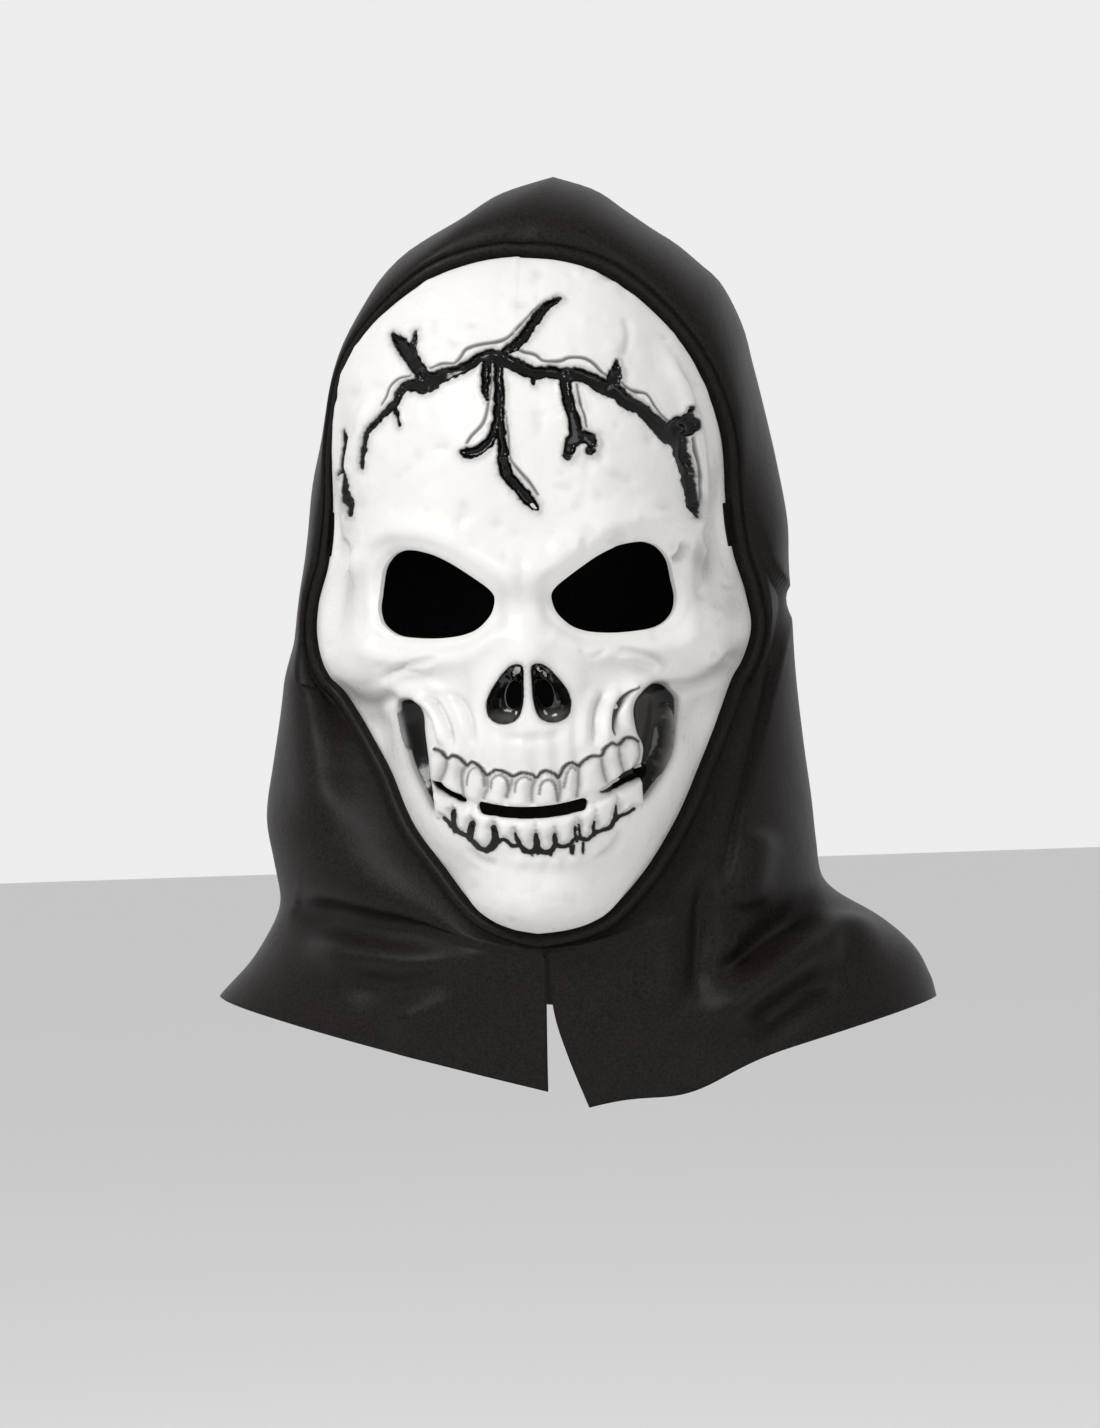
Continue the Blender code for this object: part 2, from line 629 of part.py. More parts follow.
def hood_line(front, station, side, steps):
    """One line across the cloth: from the front edge, over the side, to the back."""
    line_table, side_table, back_table = table(LINES), table(SIDES), table(BACK)
    side_z = line_table(station, 1 if side < 0 else 2)
    back_z = line_table(station, 3)
    middle = float(side_table(side_z, 1 if side < 0 else 2))
    crown = ease(np.array(station), 90, 40)
    widest = np.array([middle, SIDE_Y - CROWN_FORWARD * (1 - crown), side_z])
    back = np.array([SEAM_X, back_table(back_z, 1), back_z])
    points = []
    for step in steps:
        turn = min(step, 1.0) * math.pi / 2
        if step <= 1:
            corner = np.array([front[0], widest[1], front[2]])
            point = corner + (front - corner) * math.cos(turn) + (widest - corner) * math.sin(turn)
        else:
            turn = (step - 1) * math.pi / 2
            corner = np.array([back[0], widest[1], back[2]])
            point = corner + (widest - corner) * math.cos(turn) + (back - corner) * math.sin(turn)
        points.append(point)
    return np.array(points)


def slit_front(station, side):
    row = table(SLIT)
    down = -90 - station
    x = row(down, 1 if side < 0 else 2)
    return np.array([x, row(down, 3), row(down, 4 if side < 0 else 5)])


def hood_side(side):
    """Grid of one half of the hood's sheet: stations by steps."""
    edge = edge_rows(side)[-1]
    lines = []
    for station, front in zip(np.linspace(90, -90, RIM_STATIONS), edge):
        lines.append(hood_line(front, station, side, MAIN_STEPS))
    for station in np.linspace(-90, -150, SLIT_STATIONS + 1)[1:]:
        lines.append(hood_line(slit_front(station, side), station, side, MAIN_STEPS))
    return np.array(lines)


def grid_normals(grid):
    along = np.gradient(grid, axis=0)
    across = np.gradient(grid, axis=1)
    normal = np.cross(along, across)
    size = np.linalg.norm(normal, axis=2)
    normal = normal / np.maximum(size, 1e-6)[:, :, None]
    outward = grid - [SEAM_X, SIDE_Y, 0]
    outward[:, :, 2] = 0.0
    flip = np.sign(np.sum(normal * outward, axis=2) + 1e-9)
    normal = normal * flip[:, :, None]
    normal[:, -1] = (0, 1, 0)
    return normal


def drape(grid, side):
    """Folds of the cloth, faded out beside the rim."""
    shape = grid.shape[:2]
    flat = grid.reshape(-1, 3)
    view = flat[:, [0, 2]]
    from_edge = np.tile(np.array(MAIN_STEPS), shape[0])
    front = (1 - ease(flat[:, 1], 5, 40)) * ease(from_edge, 0.0, 0.3)
    push = np.zeros(len(flat))
    for _, half_w, amount, line in FOLDS:
        gap, along = distance(view, smooth_line(line))
        taper = ease(along, 0, 0.15) * (1 - ease(along, 0.85, 1))
        push += amount * np.exp(-(gap / half_w) ** 2) * front * taper
    turn = np.arctan2(flat[:, 1] - SIDE_Y, flat[:, 0] - SEAM_X)
    low = ease(-flat[:, 2], 170, 300) * ease(flat[:, 1], 15, 60)
    push += BACK_WAVE_RISE * np.cos(2 * BACK_WAVES * turn) * low
    normals = grid_normals(grid).reshape(-1, 3)
    return (flat + normals * push[:, None]).reshape(grid.shape)


def add_grid(bm, grid, turned):
    rows, columns = grid.shape[:2]
    verts = [[bm.verts.new(grid[i, j] * MM) for j in range(columns)] for i in range(rows)]
    for i in range(rows - 1):
        for j in range(columns - 1):
            loop = [verts[i][j], verts[i + 1][j], verts[i + 1][j + 1], verts[i][j + 1]]
            bm.faces.new(loop[::-1] if turned else loop)


def build_hood(collection):
    """Two halves joined at the centre seam, then given the cloth's thickness."""
    bm = bmesh.new()
    for side in (-1, 1):
        add_grid(bm, drape(hood_side(side), side), side > 0)
        add_grid(bm, edge_rows(side).transpose(1, 0, 2), side > 0)
    bmesh.ops.remove_doubles(bm, verts=bm.verts, dist=0.05 * MM)
    bmesh.ops.dissolve_degenerate(bm, edges=bm.edges, dist=0.05 * MM)
    bmesh.ops.triangulate(bm, faces=bm.faces)
    bmesh.ops.recalc_face_normals(bm, faces=bm.faces)
    mesh = bpy.data.meshes.new("hood")
    bm.to_mesh(mesh)
    bm.free()
    mesh.shade_smooth()
    cloth = material("black satin cloth", (0.022, 0.019, 0.017), 0.6)
    obj = new_object("hood", mesh, cloth, collection)
    solid = obj.modifiers.new("cloth thickness", "SOLIDIFY")
    solid.thickness = CLOTH * MM
    solid.offset = 0.0
    return obj


def main():
    clear_scene()
    collection = bpy.data.collections.new("skull_mask")
    bpy.context.scene.collection.children.link(collection)
    build_shell(collection)
    build_hood(collection)


main()
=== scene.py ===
"""Looks of the skull mask with its hood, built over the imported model.

Two pieces stand for the two CAD nodes: shell_skin, the moulded face with its
fine relief and black paint, and hood_cloth, the sewn cloth with its folds.
The driving tables follow those of the CAD source, in millimetres.
"""
import math

import bpy
import numpy as np
from mathutils import Matrix, Vector
from mathutils.geometry import delaunay_2d_cdt


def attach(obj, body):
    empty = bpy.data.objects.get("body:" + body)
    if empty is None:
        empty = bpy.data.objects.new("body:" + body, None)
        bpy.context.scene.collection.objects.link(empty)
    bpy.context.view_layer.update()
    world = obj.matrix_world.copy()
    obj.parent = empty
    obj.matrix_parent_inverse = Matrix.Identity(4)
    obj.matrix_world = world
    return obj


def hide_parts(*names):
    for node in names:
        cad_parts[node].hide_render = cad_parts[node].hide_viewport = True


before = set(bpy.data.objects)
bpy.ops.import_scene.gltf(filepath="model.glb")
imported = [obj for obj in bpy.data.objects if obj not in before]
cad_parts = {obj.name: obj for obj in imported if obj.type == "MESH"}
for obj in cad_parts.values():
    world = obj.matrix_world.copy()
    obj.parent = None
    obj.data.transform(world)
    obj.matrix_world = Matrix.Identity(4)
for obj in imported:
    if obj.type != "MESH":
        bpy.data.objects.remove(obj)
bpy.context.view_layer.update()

MM = 0.001
FAR = 1e3                  # stands for any distance beyond reach

# Stage
WORLD_LIGHT = (0.42, 0.85)     # in front of the object and behind it
WORLD_TURN = (-0.6, 0.7)       # directions along y between which it changes
FLOOR_HALF = 12.0
FLOOR_LEVEL = -0.60
FLOOR_GREY = (0.86, 0.86, 0.86)
LIGHT_TARGET = (0, -0.08, -0.16)
LIGHTS = [
    # name, place, size, power
    ("key", (-0.95, -1.35, 1.05), (0.6, 0.6), 24),
    ("fill", (0.9, -1.7, 0.3), (0.6, 1.0), 7),
]
CAMERA_PLACE = (0.1230, -2.0962, -0.1944)
CAMERA_LENS = 132.7
CAMERA_TURN = 3.3
CAMERA_ROLL = 2.0

# Colours
SHELL_WHITE = (0.80, 0.79, 0.765)
SHELL_IVORY = (0.75, 0.735, 0.705)
# dark colour for the soft paint edges, the dark lines of the teeth, the airbrush and the painted shade
SHELL_DARK_PAINT_AND_SHADE = (0.022, 0.019, 0.016)
PAINT_BLACK = (0.004, 0.0036, 0.0032)
# grey for the airbrush in the recesses and nose, and for the painted highlight on the recess ridges
GREY_AND_PAINTED_HIGHLIGHT = (0.24, 0.225, 0.205)
SHELL_LINING = (0.66, 0.65, 0.62)
CLOTH_DARK = (0.0020, 0.0014, 0.0012)
CLOTH_LIGHT = (0.0160, 0.0122, 0.0110)
CLOTH_CLOUD = (0.012, 0.0092, 0.0083)

# Face shell: driving sizes, as in the CAD source
EYE_LINE_Z = -147.0
CENTRE_H = -20.0
FRONT_Y = -117.0
WALL = 1.8
RIM_ANGLE = math.asin(0.995)
RIM_FADE = 12.0
SKIN_GRID = 1.15           # spacing of the outer sheet's points
FINE_GRID = 0.5            # spacing near the cracks and teeth
FINE_REACH = 1.7           # how far from their outlines that goes
FINE_OVERLAP = 0.35
LINING_GRID = 3.2          # spacing of the inner sheet's points
LOOP_SPACING = 1.0
LOOP_MARGIN = 0.55         # how many spacings the sheet's points keep from the loops
NORMAL_STEP = 0.5
SHARP_ANGLE = 62

# Hood: driving sizes, as in the CAD source
CLOTH = 1.2
LAP_GAP = 1.1
LAP_DEPTH = 6.0
SIDE_Y = 10.0
CROWN_FORWARD = 15.0
SEAM_X = 3.0
LAST_STATION = -150
STATION_STEP = 1.5         # degrees between the lines across the cloth
EDGE_STEPS = 10            # points beside the edge, then across the front and the back of each line
EDGE_SHARE = 0.1
FRONT_STEPS = 76
BACK_STEPS = 44
WELD_REACH = 0.02

# Rim: angle, left radius, right radius, depth behind the front plane
RIM = [
    (90, 149.3, 148.8, 48), (83, 148.4, 147.5, 48.2), (75, 145, 143, 50), (60, 133, 127, 62),
    (48, 114, 111, 74), (36, 97, 93.5, 84), (24, 89, 85, 90), (12, 88.5, 84, 93), (3, 87.5, 84, 94),
    (-6, 83.5, 80.5, 92), (-13, 77.5, 77, 88), (-25, 73.7, 76.5, 78), (-40, 75, 80, 68), (-55, 84, 89, 55),
    (-67, 92.5, 99, 45), (-77, 104, 108, 38), (-84, 108.7, 110.2, 34.5), (-90, 111, 111, 33),
]
NOTCH_ANGLES = (25.0, 35.0)
NOTCH_DEPTH = 5.0

# Forms of the face: name, x, h, half width, half height, rise, on both sides
BUMPS = [
    ("forehead dome", 0, 72, 60, 46, 8, False), ("forehead eminence", 30, 60, 22, 22, 1.5, True),
    ("brow middle", 0, 7, 12, 9, 3, False), ("nose root", 0.5, -8, 9, 6, -1.5, False),
    ("nose bridge", 1, -23, 9, 13, 5, False), ("hollow beside nose", 28, -40, 11, 9, -2.5, True),
    ("upper jaw", 1.5, -62, 36, 22, 8, False), ("lower jaw", 1.5, -91, 34, 14, 6.5, False),
    ("chin", 3, -117, 24, 12, 8, False), ("hollow beside chin", 27, -108, 10, 9, -1.5, True),
]
# Forms of its sides: name, across, up, half width, half height, rise
SIDE_BUMPS = [
    ("temple hollow", 97, 42, 18, 36, -5), ("cheekbone", 88, -3, 24, 16, 6),
    ("hollow under cheekbone", 82, -40, 15, 13, -4.5),
]
# Rolls on both sides: name, half width, rise, line of (x, h)
RIDGES = [
    ("brow", 8, 4.5, [(7, 4), (20, 12), (34, 20), (50, 22), (62, 13)]),
    ("outer eye column", 5, 3, [(63, 12), (62, 0), (60, -12)]),
    ("lower eye edge", 5, 2.5, [(58, -20), (42, -24), (24, -24), (13, -17)]),
    ("cheek fold", 4.5, 2.5, [(50, -35), (37, -41), (30, -50), (27, -60)]),
]

# Openings: (x, h) of the right eye and of the right half of the nose, and the mouth's slot
EYE_HOLE = [
    (11.3, -4.6), (12, -0.4), (19, 5.2), (31, 12.9), (42, 16.5), (50.3, 15.8), (55.6, 10.6), (58.2, 2.5),
    (58.7, -4), (57, -10.2), (52.8, -14.9), (46, -16.8), (34, -17.4), (22, -15.6), (14.6, -10.8),
]
SOCKET_FALL = 5.0
SOCKET_WIDTH = 5.5
EYE_LIP = 1.1
EYE_LIP_AT = 1.6
EYE_LIP_WIDTH = 1.3
NOSE_X = 1.0
NOSTRIL = (6.9, -40.0, 3.8, 5.6, 12.0)     # x, h, half width, half height, lean
SLIT_HALF_LENGTH = 18.8
SLIT_HALF_HEIGHT = 2.4
SLIT_H = -81.7
SLIT_SAG = 2.6
NOSE_LOBE = [
    (1.3, -29), (4.5, -28), (8, -30), (11.5, -34), (14.5, -38.5), (15.7, -43), (14.5, -47.5), (10.5, -50.3),
    (6, -50), (3, -47.5), (1.5, -42), (1.2, -35),
]
NOSE_DEPTH = 9.0
NOSE_SLOPE = 3.0

# Jaw recesses: (x, h)
JAW_LEFT = [
    (-50, -41), (-44.5, -39.5), (-40.5, -42), (-39.5, -51), (-38, -60), (-37.5, -69), (-36.5, -81.5),
    (-40.5, -75), (-45, -66), (-48, -56), (-50, -48),
]
JAW_RIGHT = [
    (41, -41), (46, -37), (52, -37.5), (56, -42), (56, -50), (54.5, -58), (51, -67), (46, -75), (40, -80.5),
    (40, -70), (41.5, -61), (39.5, -55), (39, -47),
]
JAW_DEPTH = 8.0
JAW_SLOPE = 4.5

# Black cracks: name, brush stroke of (x, h, width)
CRACKS = [
    ("left", [(-9.3, 89, 4), (-13.4, 88.4, 3.5), (-16.9, 86.2, 3.5), (-21.1, 84, 3.3), (-25.2, 82.8, 4),
        (-29.4, 81.5, 4.5), (-33.7, 80.4, 5.2), (-37.4, 79.2, 4.7), (-42.3, 78.9, 3.1), (-44.8, 76.7, 2.8),
        (-46.6, 73.3, 2.4), (-49.2, 70.9, 2.1), (-52.3, 68.3, 1.8), (-55.6, 65.5, 1.4), (-58.4, 61.9, 1.1),
        (-59.8, 57.3, 0.8), (-60.9, 52.2, 0.6), (-61.5, 49.3, 0.2)]),
    ("left lump", [(-31.3, 78.3, 2.6), (-35.5, 77.4, 3.1), (-39.2, 78.7, 1.6)]),
    ("left spike", [(-47.9, 71.6, 1.6), (-46.3, 68.5, 1.1), (-45.2, 64.3, 0.2)]),
    ("fork", [(-35.9, 82.6, 4.5), (-39.2, 88.5, 4.5), (-42.6, 93.1, 4.7), (-46, 97.4, 3.1),
        (-47.9, 99.8, 1.2)]),
    ("fork right tine", [(-41.1, 92.6, 3.1), (-39.2, 96.1, 2), (-39, 100.1, 0.9)]),
    ("fork middle tine", [(-43, 93.4, 2.4), (-43.2, 96.5, 1.4), (-44, 97.8, 0.5)]),
    ("upper branch", [(-4.6, 90, 2.6), (-0.5, 92.3, 3.5), (3.6, 96.4, 3.5), (6.5, 100.7, 3.1),
        (9.3, 104.8, 3.1), (12.2, 107.9, 2.8), (15.4, 109.9, 1.9), (16.8, 110.5, 0.6)]),
    ("right", [(-9.3, 89, 4.5), (-5.2, 87.6, 4.7), (-0.5, 85.2, 4.7), (4.1, 82.7, 4.2), (7.5, 81.4, 4.5),
        (11, 81.7, 3.8), (15.6, 81.4, 4), (19, 80.4, 4.9), (23.6, 80.3, 4.9), (27.6, 79, 4.2),
        (30.9, 76.6, 4.7), (34.8, 74.8, 4.9), (38.2, 73.1, 4.7), (41.5, 69.5, 4.7), (46, 67.2, 4.2),
        (49.8, 63.7, 4.7), (53.1, 60.2, 4.7), (56.4, 56.7, 5.4), (59.7, 55.9, 5.2)]),
    ("right spike", [(6.6, 81, 2.4), (6.7, 79.2, 1.4), (6.8, 77.2, 0.4)]),
    ("right thorn", [(36.2, 75.9, 4), (37.2, 80.4, 3.8), (37.9, 85.2, 0.7)]),
    ("right blot", [(57.5, 59.4, 4.7), (60.9, 60.4, 7.5), (64, 61.4, 4)]),
    ("blot prong", [(61.5, 61.9, 3.1), (62.9, 64.9, 1.6), (63.9, 67.4, 0.6)]),
    ("dagger", [(59.7, 55.9, 5.2), (60.7, 50, 4.9), (62.1, 43, 4), (62.7, 36.1, 3.1), (63.6, 31.2, 2.1),
        (64.3, 26.3, 0.4)]),
    ("long branch", [(-6.9, 88.1, 2.6), (-6.3, 85, 2.8), (-6.6, 80.3, 3.1), (-6.2, 74.4, 3.3),
        (-6.6, 67.3, 3.3), (-6.1, 62.6, 3.1), (-5.7, 56.8, 2.6), (-5.2, 52.1, 3.1), (-5.3, 47.5, 4),
        (-3.8, 42.8, 4), (-1, 39.3, 3.5), (2.3, 35.1, 4), (5.3, 31.6, 2.8), (6.8, 29.8, 0.5)]),
    ("short branch", [(-11, 87.9, 3.1), (-11.4, 81.7, 2.8), (-11.4, 75.8, 2), (-10.9, 72, 0.6)]),
    ("hooked branch", [(-6.9, 65, 1.6), (-8.1, 61.6, 2.4), (-9.4, 57.9, 2.8), (-11.8, 54.7, 3.3),
        (-15.1, 52.6, 3.3), (-18.9, 52, 3.1), (-21, 52.6, 1.2)]),
    ("forked branch", [(18.5, 79.7, 3.5), (19.1, 73.5, 3.5), (20.5, 67.6, 3.8), (21.9, 61.7, 4),
        (22.5, 57, 4.9)]),
    ("forked left toe", [(22.5, 57, 4.9), (20.2, 53.8, 4.5), (19, 49.5, 1.9)]),
    ("forked right toe", [(22.5, 57, 3.5), (25.9, 56.4, 4.2), (28.1, 54.6, 3.5), (27.4, 50.9, 1.4)]),
    ("temple", [(-69.1, 64.1, 0.6), (-68.1, 60.1, 1.4), (-68.3, 55.4, 1.9), (-69.2, 50.8, 2.8),
        (-67.9, 47, 2.1), (-67.7, 41.1, 1.9), (-67.3, 36.4, 1.6), (-67.3, 32.1, 0.5)]),
    ("temple spur", [(-69.2, 51, 2.1), (-70.7, 49.5, 1.2), (-73, 48.3, 0.5)]),
]
CRACK_SPREAD = 0.4         # how much wider the black is than its table
CRACK_RAGGED = 1.6         # how strongly its edge wanders
CRACK_DEPTH = 1.7
CRACK_LIP = 0.7
CRACK_LIP_AT = 0.75
CRACK_LIP_WIDTH = 0.65

# Thin grooves that run beside the cracks, with painted shade in them: name, brush stroke of (x, h, width)
SIDE_LINES = [
    ("upper left", [(-32.4, 85.3, 0.5), (-28.2, 86.8, 0.6), (-23.4, 86.5, 0.7), (-21.1, 88.8, 0.7),
        (-18.7, 91.9, 0.7), (-13.4, 93.5, 0.7), (-7.5, 94.3, 0.8), (-2.8, 95.7, 0.8), (0.7, 99.2, 0.6),
        (4.1, 102.7, 0.5), (6.7, 105.7, 0.4), (9.9, 108.4, 0.2)]),
    ("far left", [(-52.5, 72.6, 0.2), (-50.4, 76, 0.4), (-48.5, 80, 0.4), (-44.8, 82.5, 0.4),
        (-40.4, 82.9, 0.2)]),
    ("upper right", [(-1.6, 92, 0.5), (3, 90, 0.7), (7.6, 88.7, 0.7), (11, 86.2, 0.6), (16.8, 86, 0.8),
        (20.2, 87.2, 0.7), (24.8, 87.1, 0.7), (28.8, 85.2, 0.7), (32.1, 81.6, 0.7), (34.7, 79.2, 0.4)]),
    ("lower right", [(38.8, 77.8, 0.5), (42.2, 74.5, 0.7), (46.1, 73.7, 0.6), (49.4, 72.2, 0.3),
        (52.7, 66.3, 0.5), (56, 62.6, 0.6)]),
    ("dagger side", [(64.2, 56.1, 0.5), (65.4, 47.9, 0.5), (65.5, 38.5, 0.4), (65.2, 31.5, 0.2)]),
    ("long branch left", [(-9.3, 87, 0.3), (-9.2, 78.1, 0.5), (-10.5, 69.9, 0.5), (-12.5, 63.2, 0.7),
        (-17.1, 58.5, 0.6), (-19.1, 55.7, 0.4)]),
    ("long branch right", [(-4, 67.2, 0.2), (-3.1, 57.9, 0.4), (-2.7, 49.5, 0.4), (0.4, 44.8, 0.6),
        (4.2, 40.2, 0.7), (7.3, 35.3, 0.3)]),
    ("forked branch right", [(23, 77, 0.2), (24, 71, 0.4), (25.6, 65.2, 0.4), (26.2, 60.2, 0.2)]),
]
SIDE_LINE_DEPTH = 0.5
SIDE_LINE_LIP = 0.3
SIDE_LINE_LIP_AT = 0.9
SIDE_LINE_LIP_WIDTH = 0.5

# Knobs on the cracks: x, h, radius
KNOBS = [
    (-36.1, 84.4, 1.5), (37.5, 81.4, 1.4), (61.2, 59.8, 1.7), (20.2, 81.3, 1.2), (18.9, 49.8, 1.1),
    (27.4, 51.6, 1.2), (-5.2, 49.5, 1.2),
]
KNOB_RISE = 1.6
KNOB_SPREAD = 0.3

# Soft lines of the cast face: name, half width, rise, line of (x, h)
FACE_LINES = [
    ("cheek furrow right", 1.5, -1.1, [(33.8, -25), (38.9, -24.3), (43.9, -25.5), (49.8, -27.8),
        (54.2, -31.8)]),
    ("cheek roll right", 2.2, 0.9, [(34, -28.5), (40, -27.6), (46, -29.2), (52, -33)]),
    ("wrinkle right", 0.8, -0.5, [(40.2, -29.9), (44.6, -31), (48.7, -30.4)]),
    ("inner wrinkle right", 1.1, -0.6, [(20.2, -23), (24.1, -26.3), (28.2, -25.7), (31.9, -23.1)]),
    ("cheek furrow left", 1.5, -1.1, [(-57.2, -33.7), (-53.8, -30.1), (-47.3, -27.5), (-39.3, -25.5),
        (-32.2, -24.8)]),
    ("cheek roll left", 2.2, 0.8, [(-55, -34), (-50, -31.5), (-43, -29.5), (-34, -28)]),
    ("wrinkle left", 0.8, -0.5, [(-52.6, -29.7), (-46.3, -29.2), (-39.1, -29.9)]),
    ("under cheekbone right", 3, -1.6, [(44.5, -35.5), (53.4, -38.6), (62.4, -38.1), (69.5, -35.4),
        (76.3, -29.7), (80.9, -23.3)]),
    ("under cheekbone left", 3, -1.6, [(-79, -30.1), (-75.3, -36.1), (-66.8, -40.2), (-56.5, -39.5),
        (-49.2, -37.6)]),
    ("outer ridge right", 1.9, 1.7, [(43.4, -36.7), (38.8, -40.7), (36.8, -46.9), (37.2, -57)]),
    ("crescent right", 1.1, -1.6, [(41.5, -38.2), (35.7, -43.2), (33.6, -48.9), (33.4, -57)]),
    ("second ridge right", 1.9, 1.2, [(35.3, -37.1), (30.6, -44.6), (29.4, -50.8), (28.6, -61.1)]),
    ("second groove right", 1.3, -1.1, [(30.3, -38.4), (26.6, -44.5), (25.7, -50.7), (25.1, -60.9)]),
    ("third ridge right", 1.9, 0.9, [(26.8, -37.2), (23.1, -44.4), (21.3, -52.6), (20.5, -63)]),
    ("outer ridge left", 1.9, 1.6, [(-45.7, -37.8), (-39.1, -41.1), (-35.4, -46.5), (-34.1, -53.8),
        (-33.7, -59)]),
    ("first groove left", 1.3, -1.2, [(-41.2, -37.9), (-34.7, -42.3), (-31.6, -47.6), (-29.6, -53.9),
        (-28.7, -60.2)]),
    ("second ridge left", 1.9, 1.2, [(-41, -33.8), (-30.1, -38.3), (-26, -45.8), (-24, -53.1),
        (-23.7, -60.3)]),
    ("second groove left", 1.3, -1, [(-33.3, -36.1), (-24.7, -41.6), (-21.1, -49), (-20.3, -60.3)]),
    ("under nose", 1.8, -0.8, [(-13.2, -53.4), (-6.9, -55.1), (0.4, -55.9), (8.6, -55.7), (15.7, -54.2)]),
    ("forehead crease", 1.6, -0.8, [(40.8, 103.6), (42.5, 97.4), (41.9, 91.9), (39.5, 86.2)]),
    ("temple edge left", 2.6, 1.6, [(-69, 14.5), (-70.5, 30.5), (-66.5, 49), (-62, 64), (-57, 79)]),
    ("temple edge right", 2.6, 1.6, [(62.5, 9.5), (66.5, 25), (67, 52), (63.5, 71), (53.5, 94.5)]),
    ("temple crease left", 1.5, -2.2, [(-71, 23.5), (-71, 17), (-70, 10.5)]),
    ("temple crease right", 1.5, -2.2, [(62, 17.5), (60, 12), (56, 9.5)]),
    ("furrow below teeth left", 1.6, -0.9, [(-25.4, -97), (-21.9, -100.7), (-18.2, -102.9), (-13, -103.8)]),
    ("furrow below teeth right", 1.6, -0.9, [(21.8, -103.1), (26.1, -101.4), (29.7, -99.2), (32.7, -95),
        (34.9, -91)]),
]
LINE_GAIN = 1.45
SHADED_LINE = -0.7         # lines that sink deeper than this get painted shade along them
# Dimples and lumps: x, h, half width, half height, rise
DENTS = [
    (66.6, -2.7, 1.6, 3.2, -1.3), (73, -14.3, 1.5, 2.6, -1), (71.1, -28, 1.6, 2.2, -0.9),
    (66.2, 11.1, 2.5, 5, -1), (-76, -12, 4, 5, -0.8), (2.9, -103.3, 2.9, 2.8, 1),
    (9.3, -103.6, 2.6, 2.8, 1), (15.7, -103.1, 2.8, 2.8, 1), (24, -100.6, 2.8, 2.6, 0.9),
    (-4, -102.7, 3, 2.6, 0.8),
]
DENT_GAIN = 1.4

# Scattered dents: count, on both sides, range of x, range of h, strength
HAMMER_SPOTS = [
    (320, False, (-74, 72), (12, 124), 1.0), (60, True, (45, 80), (-30, 5), 0.8),
    (40, False, (-25, 30), (-128, -104), 0.6),
]
HAMMER_RADIUS = (1.2, 3.2)
HAMMER_STRETCH = (0.7, 1.4)
HAMMER_RISE = (-0.85, 0.5)
HAMMER_REACH = 9

# Teeth: the line of the gum (x, h), and black strokes of (x, h, width) that outline them
GUM = [
    (-36.5, -59.1), (-33.7, -60.2), (-31.1, -62.8), (-29.1, -61.8), (-26.4, -62.6), (-23.5, -65.6),
    (-21.5, -64.5), (-18.9, -65.7), (-15.7, -69.4), (-12.3, -67.8), (-8.6, -68.7), (-5.8, -70.2),
    (-2.1, -69.1), (1.5, -69.9), (3.2, -71.1), (5.1, -69.3), (7.3, -68.7), (10.1, -70.2), (11.4, -71.4),
    (13.7, -67.5), (16.6, -66), (19, -67.2), (20.8, -65.6), (23.7, -63.9), (27.6, -63.7), (29, -61.3),
    (31.6, -59.2), (34, -60), (36.5, -57.6), (38.9, -57.5), (41, -58.9),
]
GUM_WIDTH = 0.75
UPPER_GAPS = [
    [(-31.1, -62.8, 0.4), (-31.9, -66.5, 0.6), (-34.4, -70.9, 0.9)],
    [(-23.5, -65.6, 0.4), (-25.2, -68.1, 1.1), (-25.8, -71.3, 0.8), (-25.3, -76.9, 0.3)],
    [(-15.7, -69.4, 0.4), (-15.6, -74.1, 0.4), (-17.3, -78.1, 0.3)],
    [(-5.8, -70.2, 0.4), (-6.7, -74, 0.6), (-8.4, -78.1, 0.4)],
    [(3.2, -71.1, 0.4), (1.3, -75, 1), (1, -80, 0.4)],
    [(11.4, -71.4, 0.4), (11.8, -75.7, 0.4), (10.9, -80.4, 0.4)],
    [(19, -67.2, 0.3), (18.5, -73.1, 0.4), (17.8, -79, 0.3)],
    [(27.6, -63.7, 0.3), (27.8, -68.4, 0.5), (28.8, -73.5, 0.3)],
    [(34, -60, 0.3), (34.2, -65.8, 0.5), (35.4, -70.4, 0.4)],
    [(41, -58.9, 0.3), (41.3, -64, 0.3), (39.7, -68.1, 0.3)],
]
# Painted shade arcs of (x, h, width) that stand for the bevels inside the upper teeth
BEVEL_SHADE_ARCS = [
    [(-14.1, -74.2, 0.4), (-13.2, -70.9, 0.4), (-10.5, -69.5, 0.3), (-8, -71.4, 0.4), (-7.7, -75.1, 0.5),
        (-8.7, -77.9, 0.3)],
    [(-5, -75.9, 0.2), (-4.3, -72.3, 0.3), (-1.4, -70.6, 0.2), (1.1, -71.7, 0.4)],
    [(3.9, -76.9, 0.4), (4.8, -73.3, 0.4), (7.1, -71.8, 0.4), (9.4, -72.9, 0.6), (10.3, -76.4, 0.6),
        (10.6, -80.4, 0.4)],
    [(-22.8, -72.5, 0.3), (-21.7, -68.2, 0.2), (-19.4, -66.4, 0.2), (-16.9, -69.7, 0.4),
        (-16.5, -73.4, 0.4)],
    [(13, -75.1, 0.3), (14.3, -70.1, 0.3), (16.2, -67.6, 0.3), (17.9, -68.8, 0.2)],
]
WEDGE_LEFT = [
    (-37.8, -71.3), (-32.5, -72.7), (-28.7, -75.6), (-24.6, -77.9), (-25.5, -79.7), (-29.7, -78.2),
    (-33.5, -75.9), (-37, -73.6),
]
WEDGE_RIGHT = [
    (42, -67.6), (36, -70.3), (29.5, -74.7), (26.5, -77.6), (30.1, -77.6), (35.8, -74.8), (42, -71.9),
]
WEDGE_DEPTH = 4.0
